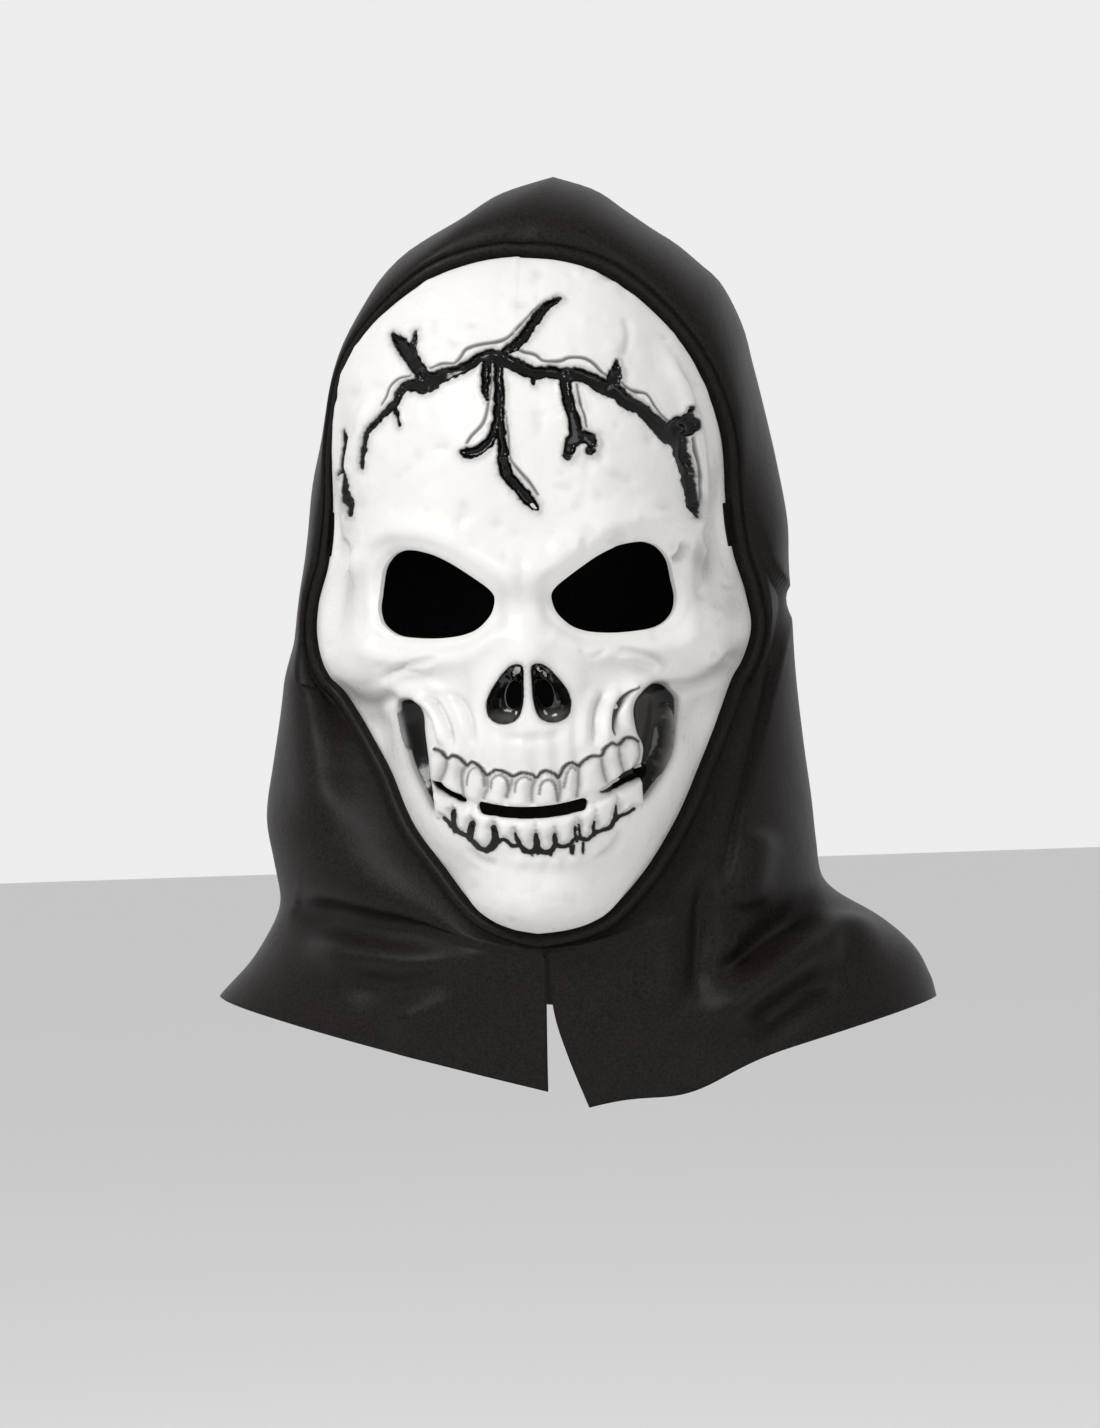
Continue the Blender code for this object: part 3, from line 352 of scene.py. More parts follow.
LOWER_ROOTS = [
    (-34, -85.5, 0.6), (-31.2, -88.3, 1.2), (-27.4, -91.5, 1.3), (-24.8, -92.5, 1.5), (-22.6, -94.5, 1.6),
    (-20.1, -97.2, 1.5), (-17.5, -98, 1.5), (-14.7, -97, 1.5), (-12.5, -95.1, 1), (-10.4, -94, 0.5),
    (-7.6, -96.5, 0.9), (-4.7, -96.6, 1), (-2.6, -98.5, 1.3), (-0.1, -99.3, 1.3), (2.1, -98.1, 1.8),
    (4.6, -99.5, 1.3), (7.1, -99, 1.2), (9, -97.1, 1.2), (11.5, -97.7, 0.9), (14.3, -97.1, 0.9),
    (16.3, -94.8, 0.7), (18.7, -94.8, 0.7), (21.2, -95.2, 1), (23.6, -93.1, 1), (26.6, -92.1, 0.7),
    (29.4, -91.2, 1), (31.5, -88.3, 1), (33.9, -86.7, 0.7), (36.1, -86.1, 0.7), (38.3, -84.3, 0.6),
]
LOWER_GAPS = [
    [(-29.7, -90.3, 1.6), (-30, -87, 1.9), (-29.9, -83.4, 1.6)],
    [(-23.5, -93.3, 2.2), (-23.3, -90.7, 2.2), (-22.3, -88.1, 1.9)],
    [(-16.3, -97.3, 1.2), (-13.9, -93.8, 1.8), (-14.2, -89.7, 1.5)],
    [(-12.7, -94.9, 0.7), (-12.9, -92.3, 0.6), (-13.4, -90.3, 0.4)],
    [(-3, -98.5, 1.5), (-4.9, -95.1, 1.2), (-6, -91.9, 0.4)],
    [(2.2, -99, 1.9), (2, -95.7, 1.9), (2, -92.8, 0.7)],
    [(9, -97.1, 1.3), (9, -94.5, 1), (9.1, -92.9, 0.4)],
    [(17.1, -95.7, 0.7), (16.6, -92.6, 0.4), (16.9, -90.4, 0.3)],
    [(18.6, -94.8, 0.7), (18.2, -92, 0.6), (18.2, -89.6, 0.3)],
    [(23.6, -93.1, 1), (23.3, -90.8, 0.6), (24, -89, 0.3)],
    [(31.6, -87.9, 1), (31.7, -85.4, 0.7), (32.2, -83.2, 0.3)],
    [(-0.1, -99.3, 1), (0.1, -100.4, 0.3)],
    [(7.1, -99, 0.9), (7.1, -100.5, 0.3)],
    [(14.5, -97.3, 1), (14.9, -99.9, 0.7), (15.9, -97.4, 0.4)],
    [(19.3, -96.8, 0.3), (18.9, -100.3, 0.3)],
]
UPPER_BITE = [
    (-37.5, -72), (-30, -75.5), (-24, -78.5), (-17, -80), (-7.5, -82), (1.5, -82.3), (10.5, -81.5),
    (19.5, -79.5), (27, -76.5), (34, -72), (42, -67),
]
LOWER_BITE = [
    (-37, -74), (-30, -79), (-24, -81.5), (-17, -84), (-7.5, -87), (1.5, -87.6), (10.5, -86.5), (19.5, -84),
    (27, -79.5), (34, -76.5), (42, -72),
]
TOOTH_ENDS = (-37.6, -36, 40.2, 41.8)
TOOTH_RISE = 2.3
TOOTH_EDGE = 1.7
ROOT_GROOVE = 1.1
ROOT_HALF_LENGTH = 38
LOWER_SPREAD = 0.36        # how much wider the black round the lower teeth is than its table
LOWER_SEAMS = 11
SEAM_DEPTH = 0.7
SEAM_WIDTH = 0.8

# Soft grey airbrush and painted shade in the hollows and on the sides of the face: x, h, half width, half
# height, strength
AIRBRUSH_AND_SHADE_SPOTS = [
    (67, 10, 3.6, 8, 0.45), (64, -2, 1.8, 11, 0.2), (78, -5, 4, 12, 0.22), (78, -25, 4, 7, 0.3),
    (-70, 2, 4, 14, 0.22), (-63, 0, 2, 12, 0.12), (-7.5, -8, 2.5, 11, 0.12), (8, -8, 2.5, 11, 0.12),
    (70, 55, 8, 30, 0.14), (-68, 50, 5, 30, 0.14), (0, -64, 20, 7, 0.07), (34, -28, 14, 3, 0.1),
    (-44, -29, 14, 3, 0.1), (60, -40, 16, 4, 0.14), (-64, -41, 12, 4, 0.14), (52, -95, 8, 14, 0.12),
    (-48, -95, 8, 14, 0.12), (0, 4, 3, 8, 0.08), (22, -38, 3, 12, 0.1), (-22, -40, 3, 12, 0.1),
    (14, -104, 16, 4, 0.07), (47, 92, 6, 14, 0.08),
]
AIRBRUSH_AND_SHADE_LIMIT = 0.7
RECESS_GREY = 0.12
NOSE_GREY = 0.5
# The dark line beside the right jaw recess: x, h, width
CRESCENT = [
    (41.5, -38.2, 0.1), (38.2, -40.3, 0.7), (35.7, -43.2, 1), (33.6, -48.9, 1), (33.4, -56, 0.2),
]

# Ridges inside the jaw recesses: name, half width, rise, line of (x, h)
RECESS_RIDGES = [
    ("left", 0.8, 2, [(-50, -43.1), (-49, -51.3), (-46.5, -60)]),
    ("right", 1.2, 3.4, [(50.4, -44.3), (51.7, -54.8), (49.5, -65.2), (44.4, -74.4)]),
]

# The hood's edge: out from the shell's outer wall, back past its rim
EDGE_SECTION = [
    (-1.2, 1.9), (1.2, 1.4), (3, 0.8), (4.6, 1.6), (5.6, 2.8), (7.2, 2.2),
]
# How far that section stands out: station, left share, right share
EDGE_SPREAD = [
    (90, 1, 1), (76, 0.9, 1), (64, 0.55, 1), (45, 0.5, 1), (25, 0.75, 1), (5, 0.85, 1), (-10, 1, 1),
    (-90, 1, 1),
]
# Lines across the cloth: station, left side z, right side z, back z
LINES = [
    (90, 17.8, 17.8, -60), (80, 8, 6, -66), (70, -9, -9, -75), (60, -35, -28, -88), (48, -69, -56, -104),
    (36, -98, -87, -120), (24, -126, -112, -136), (12, -142, -134, -151), (0, -158, -154, -167),
    (-13, -178, -179, -184), (-25, -196, -198, -200), (-40, -215, -219, -220), (-55, -232, -236, -238),
    (-67, -245, -249, -252), (-77, -255, -259, -264), (-90, -264, -268, -276), (-110, -278, -284, -290),
    (-150, -303, -312, -318),
]
# Widest points of the cloth: z, left x, right x
SIDES = [
    (17.8, 12, 12), (12, -8, 28), (4, -21, 39), (-4, -37, 50), (-10, -47, 59), (-18, -55.5, 68),
    (-26, -61, 76), (-42, -70.5, 83.5), (-57, -76.5, 87), (-73, -81, 90.5), (-97, -88.5, 95.2),
    (-121, -92, 98.5), (-145, -96, 97), (-177, -102, 98.3), (-209, -109, 101.4), (-231, -112.7, 104),
    (-249, -110.4, 105.5), (-265, -108.2, 108), (-275, -112, 121), (-289, -121, 141), (-303, -134.5, 149),
    (-312, -140, 151.5),
]
# Its back: z, y
BACK = [
    (-60, 100), (-90, 107), (-130, 111), (-180, 106), (-220, 100), (-260, 102), (-318, 118),
]
# Edges of the split: down from the chin, left x, right x, y, left z, right z
SLIT = [
    (0, 2, 3, -82, -286, -286), (20, 1.6, 4.2, -80.5, -306, -308), (40, 1.1, 9, -78, -323, -326),
    (60, 0.7, 16.3, -75, -339.5, -346),
]
# Folds: name, half width, rise, line of (x, z)
FOLDS = [
    ("right inner valley", 4, -3, [(66, -254), (63, -263), (61, -280), (59, -299), (56, -310)]),
    ("right pocket", 6, -5.5, [(69, -287), (74, -292), (80, -289), (88, -282), (99, -275), (109, -272)]),
    ("right shoulder ridge", 7, 5, [(137, -296), (127, -289), (114, -285), (105, -290), (88, -299),
        (70, -310), (53, -321)]),
    ("right broad roll", 9, 2.5, [(51, -262), (47, -279), (44, -299), (41, -315)]),
    ("right lower valley", 7, -3.5, [(114, -297), (95, -308), (77, -321)]),
    ("right neck roll", 7, 2.5, [(84, -240), (80, -262), (78, -276)]),
    ("left neck valley", 8, -4, [(-106, -268), (-101, -273), (-86, -272), (-69, -275), (-41, -278),
        (-15, -279)]),
    ("left upper ridge", 9, 4, [(-97, -278), (-83, -283), (-65, -287), (-46, -289), (-24, -285),
        (-2, -281)]),
    ("left valley", 8, -3, [(-83, -292), (-61, -297), (-42, -296), (-24, -290)]),
    ("left lower ridge", 9, 4, [(-64, -318), (-52, -310), (-38, -304), (-24, -297), (-7, -288)]),
    ("left cheek roll", 12, 3, [(-92, -160), (-88, -205), (-84, -240)]),
]
FOLD_GAIN = 1.5
PLEAT = [
    (85, -112), (90, -136), (97, -152), (91, -183), (83, -215), (75, -246), (71, -268), (71, -280),
]
PLEAT_RISE = 2.2           # the cloth outside the pleat's line lies over the cloth inside it
PLEAT_FALL = (14, 6)       # how soon it fades, outside and inside
HEM_SAG = (55.0, 20.0, 5.5)    # x, half width and drop of the hem's lowest bulge
BACK_WAVES = 4
BACK_WAVE_RISE = 4.0
FLARE_REACH = 7            # lines over which the bend above the cape is rounded


def smooth_line(points, steps=8, closed=False):
    """Curve through the points (Catmull-Rom), as a dense array of points."""
    pts = np.array(points, float)
    if closed:
        padded = np.vstack([pts[-1], pts, pts[0], pts[1]])
    else:
        padded = np.vstack([2 * pts[0] - pts[1], pts, 2 * pts[-1] - pts[-2]])
    t = np.linspace(0, 1, steps, endpoint=False)[:, None]
    rows = []
    for i in range(len(padded) - 3):
        a, b, c, d = padded[i:i + 4]
        rows.append(0.5 * (2 * b + (c - a) * t + (2 * a - 5 * b + 4 * c - d) * t ** 2
                           + (3 * b - a - 3 * c + d) * t ** 3))
    if not closed:
        rows.append(pts[-1:])
    return np.vstack(rows)


def resample(line, spacing, closed=False):
    """Points along a dense line at about an even spacing."""
    pts = np.vstack([line, line[:1]]) if closed else line
    length = np.concatenate([[0], np.cumsum(np.linalg.norm(np.diff(pts, axis=0), axis=1))])
    count = max(int(round(length[-1] / spacing)), 3 if closed else 1)
    at = np.linspace(0, length[-1], count + 1)
    out = np.column_stack([np.interp(at, length, pts[:, k]) for k in range(pts.shape[1])])
    return out[:-1] if closed else out


def table(rows):
    """Smooth lookup in a table whose first column is the key."""
    dense = smooth_line(rows)
    dense = dense[np.argsort(dense[:, 0])]

    def look(key, column):
        return np.interp(key, dense[:, 0], dense[:, column])
    return look


def height_on(x, line):
    """Height of a line of points at each x."""
    return np.interp(x, [point[0] for point in line], [point[1] for point in line])


def ease(value, start, end):
    t = np.clip((value - start) / (end - start), 0, 1)
    return t * t * (3 - 2 * t)


def bell(gap, width):
    return np.exp(-(gap / width) ** 2)


def spot(x, h, middle_x, middle_h, half_w, half_h):
    """A soft round mound of height 1."""
    return np.exp(-((x - middle_x) / half_w) ** 2 - ((h - middle_h) / half_h) ** 2)


def distance(points, line):
    """Distance from each point to a line, and how far along the line it is nearest."""
    best = np.full(len(points), np.inf)
    along = np.zeros(len(points))
    run = 0.0
    for a, b in zip(line[:-1], line[1:]):
        ab = b - a
        size = float(np.dot(ab, ab)) + 1e-12
        t = np.clip(((points - a) @ ab) / size, 0, 1)
        gap = np.linalg.norm(points - (a + t[:, None] * ab), axis=1)
        closer = gap < best
        best[closer] = gap[closer]
        along[closer] = run + t[closer] * math.sqrt(size)
        run += math.sqrt(size)
    return best, along / run


def in_reach(points, line, reach):
    """Which points lie in a line's box, widened by reach."""
    return np.all((points > line.min(axis=0) - reach) & (points < line.max(axis=0) + reach), axis=1)


def near_line(points, line, reach):
    """As distance, but worked out only for the points within reach of the line's box."""
    line = np.array(line, float)
    best, along = np.full(len(points), FAR), np.zeros(len(points))
    near = in_reach(points, line, reach)
    if near.any():
        best[near], along[near] = distance(points[near], line)
    return best, along


def roll(points, line, half_w, ends=None):
    """A soft roll of height 1 along a line. Ends are the shares of it where it rises and falls."""
    gap, along = near_line(points, smooth_line(line), 3 * half_w)
    if ends is None:
        return bell(gap, half_w)
    return bell(gap, half_w) * ease(along, 0, ends[0]) * (1 - ease(along, ends[1], 1))


def inside(points, outline):
    hit = np.zeros(len(points), bool)
    box = in_reach(points, outline, 0)
    x, y = points[box, 0], points[box, 1]
    found = np.zeros(len(x), bool)
    for (ax, ay), (bx, by) in zip(outline, np.roll(outline, -1, axis=0)):
        crosses = (ay > y) != (by > y)
        if ay != by:
            found ^= crosses & (x < (bx - ax) * (y - ay) / (by - ay) + ax)
    hit[box] = found
    return hit


def signed_distance(points, outline, reach):
    """Distance to a closed outline, below zero inside it; FAR beyond reach."""
    out = np.full(len(points), FAR)
    near = in_reach(points, outline, reach)
    if near.any():
        gap, _ = distance(points[near], np.vstack([outline, outline[:1]]))
        out[near] = np.where(inside(points[near], outline), -gap, gap)
    return out


def nearest_outline(points, outlines, reach):
    return np.minimum.reduce([signed_distance(points, outline, reach) for outline in outlines])


def stroke(points, line, steps=4, reach=9.0):
    """Signed distance to the edge of a brush stroke whose line is (x, h, width)."""
    dense = smooth_line(line, steps)
    dense[:, 2] = np.maximum(dense[:, 2], 0.0)
    out = np.full(len(points), FAR)
    near = in_reach(points, dense[:, :2], reach)
    if near.any():
        p = points[near]
        found = out[near]
        for a, b in zip(dense[:-1], dense[1:]):
            ab = b[:2] - a[:2]
            t = np.clip(((p - a[:2]) @ ab) / (float(ab @ ab) + 1e-12), 0, 1)
            gap = np.linalg.norm(p - a[:2] - t[:, None] * ab, axis=1)
            found = np.minimum(found, gap - (a[2] + t * (b[2] - a[2])) / 2)
        out[near] = found
    return out


def nearest_stroke(points, lines):
    return np.minimum.reduce([stroke(points, line) for line in lines])


def soft_noise(points, size, seed):
    """Smooth noise from -1 to 1 over plane points, with features about as large as size."""
    count = 128
    grid = np.random.default_rng(seed).uniform(-1, 1, (count, count))
    at = points / size
    cell = np.floor(at).astype(int)
    t = at - cell
    t = t * t * (3 - 2 * t)
    i, j = cell[:, 0] % count, cell[:, 1] % count
    i2, j2 = (i + 1) % count, (j + 1) % count
    low = grid[i, j] * (1 - t[:, 0]) + grid[i2, j] * t[:, 0]
    high = grid[i, j2] * (1 - t[:, 0]) + grid[i2, j2] * t[:, 0]
    return low * (1 - t[:, 1]) + high * t[:, 1]


rim_table, spread_table = table(RIM), table(EDGE_SPREAD)
line_table, side_table, back_table, slit_table = table(LINES), table(SIDES), table(BACK), table(SLIT)


def rim_at(angle):
    """Rim radius, depth and laid-out length at angles in radians."""
    turn = np.degrees(angle)
    left = np.abs(turn) > 90
    mirrored = np.where(left, np.where(turn > 0, 180 - turn, -180 - turn), turn)
    radius = np.where(left, rim_table(mirrored, 1), rim_table(mirrored, 2))
    depth = rim_table(mirrored, 3)
    length = np.sqrt((radius ** 2 + depth ** 2) / 2) * RIM_ANGLE
    return radius, depth, length


def lay_flat(front):
    """From (x, h) on the front view to the shell laid out flat."""
    x, up = front[:, 0], front[:, 1] - CENTRE_H
    angle = np.arctan2(up, x)
    radius, _, length = rim_at(angle)
    share = np.clip(np.hypot(x, up) / radius, 0, 1)
    reach = np.arcsin(share * math.sin(RIM_ANGLE)) / RIM_ANGLE * length
    return np.column_stack([reach * np.cos(angle), reach * np.sin(angle)])


def bare_shell(flat):
    """Points of the shell before its relief, as (x, y, h)."""
    angle = np.arctan2(flat[:, 1], flat[:, 0])
    radius, depth, length = rim_at(angle)
    theta = np.hypot(flat[:, 0], flat[:, 1]) / length * RIM_ANGLE
    out = radius * np.sin(theta) / math.sin(RIM_ANGLE)
    y = FRONT_Y + depth * (1 - np.cos(theta)) / (1 - math.cos(RIM_ANGLE))
    return np.column_stack([out * np.cos(angle), y, CENTRE_H + out * np.sin(angle)])


def shell_normals(flat):
    across = bare_shell(flat + [NORMAL_STEP, 0]) - bare_shell(flat - [NORMAL_STEP, 0])
    up = bare_shell(flat + [0, NORMAL_STEP]) - bare_shell(flat - [0, NORMAL_STEP])
    normal = np.cross(across, up)
    return normal / np.linalg.norm(normal, axis=1)[:, None]


def rim_gap(flat):
    """How far in from the rim a laid-out point lies."""
    _, _, length = rim_at(np.arctan2(flat[:, 1], flat[:, 0]))
    return length - np.hypot(flat[:, 0], flat[:, 1])


def rim_fade(flat):
    return ease(rim_gap(flat), 0, RIM_FADE)


def room_to_rim(flat):
    """As rim_gap, but taken from the notches where they are."""
    turn = np.degrees(np.arctan2(flat[:, 1], flat[:, 0]))
    lean = np.where(np.abs(turn) > 90, np.sign(turn) * 180 - turn, turn)
    notch = (lean > NOTCH_ANGLES[0] - 0.5) & (lean < NOTCH_ANGLES[1] + 0.5)
    return rim_gap(flat) - np.where(notch, NOTCH_DEPTH, 0.0)


def both_sides(right, middle=0.0):
    """An outline and its mirror image, about a middle line."""
    left = np.array([(-x, h) for x, h in right])[::-1]
    return [right + [middle, 0], left + [middle, 0]]


def mouth_slit():
    """A long slot with round ends, bent down in the middle."""
    straight = SLIT_HALF_LENGTH - SLIT_HALF_HEIGHT
    turn = np.linspace(-math.pi / 2, math.pi / 2, 9)
    cap = np.column_stack([np.cos(turn), np.sin(turn)]) * SLIT_HALF_HEIGHT
    top = np.column_stack([np.linspace(straight, -straight, 17)[1:-1],
                           np.full(15, SLIT_HALF_HEIGHT)])
    outline = np.vstack([cap + [straight, 0], top, -cap - [straight, 0], -top])
    sag = SLIT_SAG * ((outline[:, 0] / SLIT_HALF_LENGTH) ** 2 - 0.4)
    return outline + np.column_stack([np.full(len(sag), NOSE_X), SLIT_H + sag])


def nostrils():
    x, h, wide, high, lean = NOSTRIL
    turn = np.linspace(0, 2 * math.pi, 40, endpoint=False)
    lean = math.radians(lean)
    dx, dh = wide * np.cos(turn), high * np.sin(turn)
    return both_sides(np.column_stack([x + dx * math.cos(lean) - dh * math.sin(lean),
                                       h + dx * math.sin(lean) + dh * math.cos(lean)]), NOSE_X)


eye_holes = both_sides(smooth_line(EYE_HOLE, closed=True))
nose_lobes = both_sides(smooth_line(NOSE_LOBE, closed=True), NOSE_X)
jaw_recesses = [smooth_line(outline, closed=True) for outline in (JAW_LEFT, JAW_RIGHT)]
wedges = [smooth_line(outline, closed=True) for outline in (WEDGE_LEFT, WEDGE_RIGHT)]


def recess_gap(front):
    return nearest_outline(front, jaw_recesses, 8)


def wedge_gap(front):
    """Signed distance to the dark gaps between the two rows of teeth."""
    return nearest_outline(front, wedges, 6)


def edge_wobble(front):
    return 0.22 * soft_noise(front, 1.6, 5) + 0.15 * soft_noise(front, 0.8, 6)


def crack_gap(front, wobble):
    """Signed distance to the edge of the black cracks, with a ragged edge."""
    gap = nearest_stroke(front, [line for _, line in CRACKS])
    for x, h, radius in KNOBS:
        gap = np.minimum(gap, np.hypot(front[:, 0] - x, front[:, 1] - h) - radius - KNOB_SPREAD)
    return gap + CRACK_RAGGED * wobble - CRACK_SPREAD


def side_line_gap(front):
    return nearest_stroke(front, [line for _, line in SIDE_LINES])


def gum_gap(front):
    return stroke(front, [(x, h, GUM_WIDTH) for x, h in GUM])


def split_gap(front):
    """Signed distance to the dark streaks between the upper teeth."""
    return nearest_stroke(front, UPPER_GAPS)


def upper_tooth_gap(front, wobble):
    return np.minimum(gum_gap(front), split_gap(front)) + 0.4 * wobble


def lower_tooth_gap(front, wobble):
    return nearest_stroke(front, [LOWER_ROOTS] + LOWER_GAPS) + wobble - LOWER_SPREAD


def lower_seam_gap(front):
    """Distance to the faint lines that run up from the prongs to the bite."""
    gaps = []
    for line in LOWER_GAPS[:LOWER_SEAMS]:
        x, h = line[-1][:2]
        top = height_on(x, LOWER_BITE)
        gaps.append(near_line(front, [(x, h), (x * 0.985, max(top, h + 1))], 4)[0])
    return np.minimum.reduce(gaps)


def airbrush_and_shade(front):
    """Soft grey airbrush and painted shade on the temples, cheeks and beside the nose."""
    shade = sum(strength * spot(front[:, 0], front[:, 1], *place) for *place, strength in AIRBRUSH_AND_SHADE_SPOTS)
    return np.minimum(shade, AIRBRUSH_AND_SHADE_LIMIT)


def tooth_band(front):
    """1 on the teeth of both rows, fading at the gums, the bite and the ends."""
    x, h = front[:, 0], front[:, 1]
    ends = ease(x, *TOOTH_ENDS[:2]) * (1 - ease(x, *TOOTH_ENDS[2:]))
    upper = ease(height_on(x, GUM) - h, -0.3, 0.6) * ease(h - height_on(x, UPPER_BITE), -0.5, 2.0)
    lower = (ease(height_on(x, LOWER_BITE) - h, -0.5, 1.8)
             * ease(h - height_on(x, LOWER_ROOTS), -0.6, 0.6))
    return upper * ends, lower * ends


def cast_rise(front, flat):
    """Rise of the main forms above the bare shell, along its normal."""
    x, h = front[:, 0], front[:, 1]
    rise = np.zeros(len(front))
    for _, bump_x, *place, amount, both in BUMPS:
        for side in (1, -1) if both else (1,):
            rise += amount * spot(x, h, side * bump_x, *place)
    for _, *place, amount in SIDE_BUMPS:
        rise += amount * spot(np.abs(flat[:, 0]), flat[:, 1], *place)
    folded = np.column_stack([np.abs(x), h])
    for _, half_w, amount, line in RIDGES:
        rise += amount * roll(folded, line, half_w)
    for hole in eye_holes:
        gap = np.maximum(signed_distance(front, hole, 3 * SOCKET_WIDTH), 0)
        rise -= SOCKET_FALL * bell(gap, SOCKET_WIDTH)
        rise += EYE_LIP * bell(gap - EYE_LIP_AT, EYE_LIP_WIDTH)
    for lobe in nose_lobes:
        rise -= NOSE_DEPTH * ease(-signed_distance(front, lobe, 2), 0, NOSE_SLOPE)
    rise -= JAW_DEPTH * ease(-recess_gap(front), -1, JAW_SLOPE)
    return rise * rim_fade(flat)


def tooth_rise(front, wobble):
    """Teeth stand out between their outlines, with roots above the upper row."""
    x, h = front[:, 0], front[:, 1]
    rise = -SEAM_DEPTH * bell(lower_seam_gap(front), SEAM_WIDTH)
    gaps = upper_tooth_gap(front, wobble), lower_tooth_gap(front, wobble)
    for band, gap in zip(tooth_band(front), gaps):
        rise += TOOTH_RISE * band * (1 - bell(np.maximum(gap, 0), TOOTH_EDGE))
    edges = [line[0][0] for line in UPPER_GAPS]
    swell = 0.5 + 0.5 * np.cos(2 * math.pi * np.interp(x, edges, np.arange(len(edges))))
    root = ease(h - height_on(x, GUM), 0.0, 1.2)
    root *= 1 - ease(h, -60 + np.abs(x) * 0.1, -51 + np.abs(x) * 0.25)
    rise -= ROOT_GROOVE * swell * root * (np.abs(x) < ROOT_HALF_LENGTH)
    return rise - WEDGE_DEPTH * ease(-wedge_gap(front), -0.4, 1.2)


def crack_rise(front, wobble):
    """Cracks sink in between raised lips, with thin grooves beside them."""
    gap = crack_gap(front, wobble)
    rise = CRACK_LIP * bell(gap - CRACK_LIP_AT, CRACK_LIP_WIDTH)
    rise -= CRACK_DEPTH * (1 - ease(gap, -1.3, 0.15))
    gap = side_line_gap(front)
    rise -= SIDE_LINE_DEPTH * (1 - ease(gap, -0.2, 0.5))
    rise += SIDE_LINE_LIP * bell(gap - SIDE_LINE_LIP_AT, SIDE_LINE_LIP_WIDTH)
    for x, h, radius in KNOBS:
        rise += KNOB_RISE * spot(front[:, 0], front[:, 1], x, h, radius, radius)
    return rise


def hammered(front):
    """Shallow dents and swellings scattered over the forehead, cheeks and chin."""
    random = np.random.default_rng(11)
    rise = 0.14 * soft_noise(front, 7.0, 21) + 0.08 * soft_noise(front, 3.0, 22)
    spots = []
    for count, both, x_range, h_range, strength in HAMMER_SPOTS:
        for _ in range(count):
            side = random.choice([-1, 1]) if both else 1
            spots.append((side * random.uniform(*x_range), random.uniform(*h_range), strength))
    for x, h, strength in spots:
        radius = random.uniform(*HAMMER_RADIUS)
        stretch = random.uniform(*HAMMER_STRETCH)
        amount = random.uniform(*HAMMER_RISE) * strength
        near = np.all(np.abs(front - [x, h]) < HAMMER_REACH, axis=1)
        if near.any():
            rise[near] += amount * spot(front[near, 0], front[near, 1], x, h, radius * stretch,
                                        radius / stretch)
    return rise


def fine_rise(front):
    """Rise of the small forms: wrinkles, teeth, roots, cracks and dimples."""
    wobble = edge_wobble(front)
    rise = tooth_rise(front, wobble) + crack_rise(front, wobble) + hammered(front)
    for _, half_w, amount, line in FACE_LINES:
        rise += LINE_GAIN * amount * roll(front, line, half_w, (0.18, 0.82))
    for _, half_w, amount, line in RECESS_RIDGES:
        rise += amount * roll(front, line, half_w, (0.1, 0.85))
    for *place, amount in DENTS:
        rise += DENT_GAIN * amount * spot(front[:, 0], front[:, 1], *place)
    return rise


def cast_face(flat):
    """Points of the shell with its main forms, and its normals before them."""
    bare = bare_shell(flat)
    normals = shell_normals(flat)
    return bare + normals * cast_rise(bare[:, [0, 2]], flat)[:, None], normals


def face_point(flat, inward=0.0):
    """Points on the finished face, or at a distance in behind it."""
    place, normals = cast_face(flat)
    rise = fine_rise(place[:, [0, 2]]) * rim_fade(flat)
    return place + normals * (rise - inward)[:, None] + [0, 0, EYE_LINE_Z]


def ring(inset, angles):
    """A closed line on the laid-out shell, a distance in from the rim."""
    _, _, length = rim_at(np.arctan2(np.sin(angles), np.cos(angles)))
    reach = length - inset
    return np.column_stack([reach * np.cos(angles), reach * np.sin(angles)])


def rim_outline():
    """The rim with its two temple notches."""
    low, high = NOTCH_ANGLES
    angles, insets = [], []
    for turn in np.arange(-180, 180, 0.5):
        rising = abs(turn) < 90
        lean = turn if rising else math.copysign(180, turn) - turn
        steps = [NOTCH_DEPTH] if low < lean < high else [0.0]
        if lean in NOTCH_ANGLES:
            steps = [0.0, NOTCH_DEPTH] if rising == (lean == low) else [NOTCH_DEPTH, 0.0]
        angles += [math.radians(turn)] * len(steps)
        insets += steps
    return resample(ring(np.array(insets), np.array(angles)), LOOP_SPACING, True)


def grid_points(low, high, step):
    """Points of an even triangular grid over a box."""
    rows = []
    for j, v in enumerate(np.arange(low[1], high[1], step * math.sqrt(3) / 2)):
        u = np.arange(low[0] + 0.5 * (j % 2) * step, high[0], step)
        rows.append(np.column_stack([u, np.full(len(u), v)]))
    return np.vstack(rows)


def detail_map(low, high):
    """A coarse map of the distance to the cracks and teeth, as a lookup for laid-out points."""
    u, v = np.arange(low[0] - 2, high[0] + 3), np.arange(low[1] - 2, high[1] + 3)
    points = np.array([(a, b) for b in v for a in u])
    near = room_to_rim(points) > 0
    gap = np.full(len(points), FAR)
    front = cast_face(points[near])[0][:, [0, 2]]
    bare = bare_shell(points[near])[:, [0, 2]]
    still = np.zeros(len(front))
    ridges = [near_line(front, smooth_line(line), 8)[0] for *_, line in RECESS_RIDGES]
    gap[near] = np.minimum.reduce(ridges + [
        nearest_stroke(front, BEVEL_SHADE_ARCS + [CRESCENT]), crack_gap(front, still), side_line_gap(front),
        upper_tooth_gap(front, still), lower_tooth_gap(front, still), np.abs(wedge_gap(front)),
        np.abs(recess_gap(bare))])
    gap = gap.reshape(len(v), len(u))

    def look(flat):
        i = np.clip(np.round(flat[:, 0] - u[0]).astype(int), 0, len(u) - 1)
        j = np.clip(np.round(flat[:, 1] - v[0]).astype(int), 0, len(v) - 1)
        return gap[j, i]
    return look


def loop_edges(loops):
    """For each loop, pairs of point numbers round it; all loops are numbered in one run."""
    start = 0
    for loop in loops:
        count = len(loop)
        yield [(start + i, start + (i + 1) % count) for i in range(count)]
        start += count


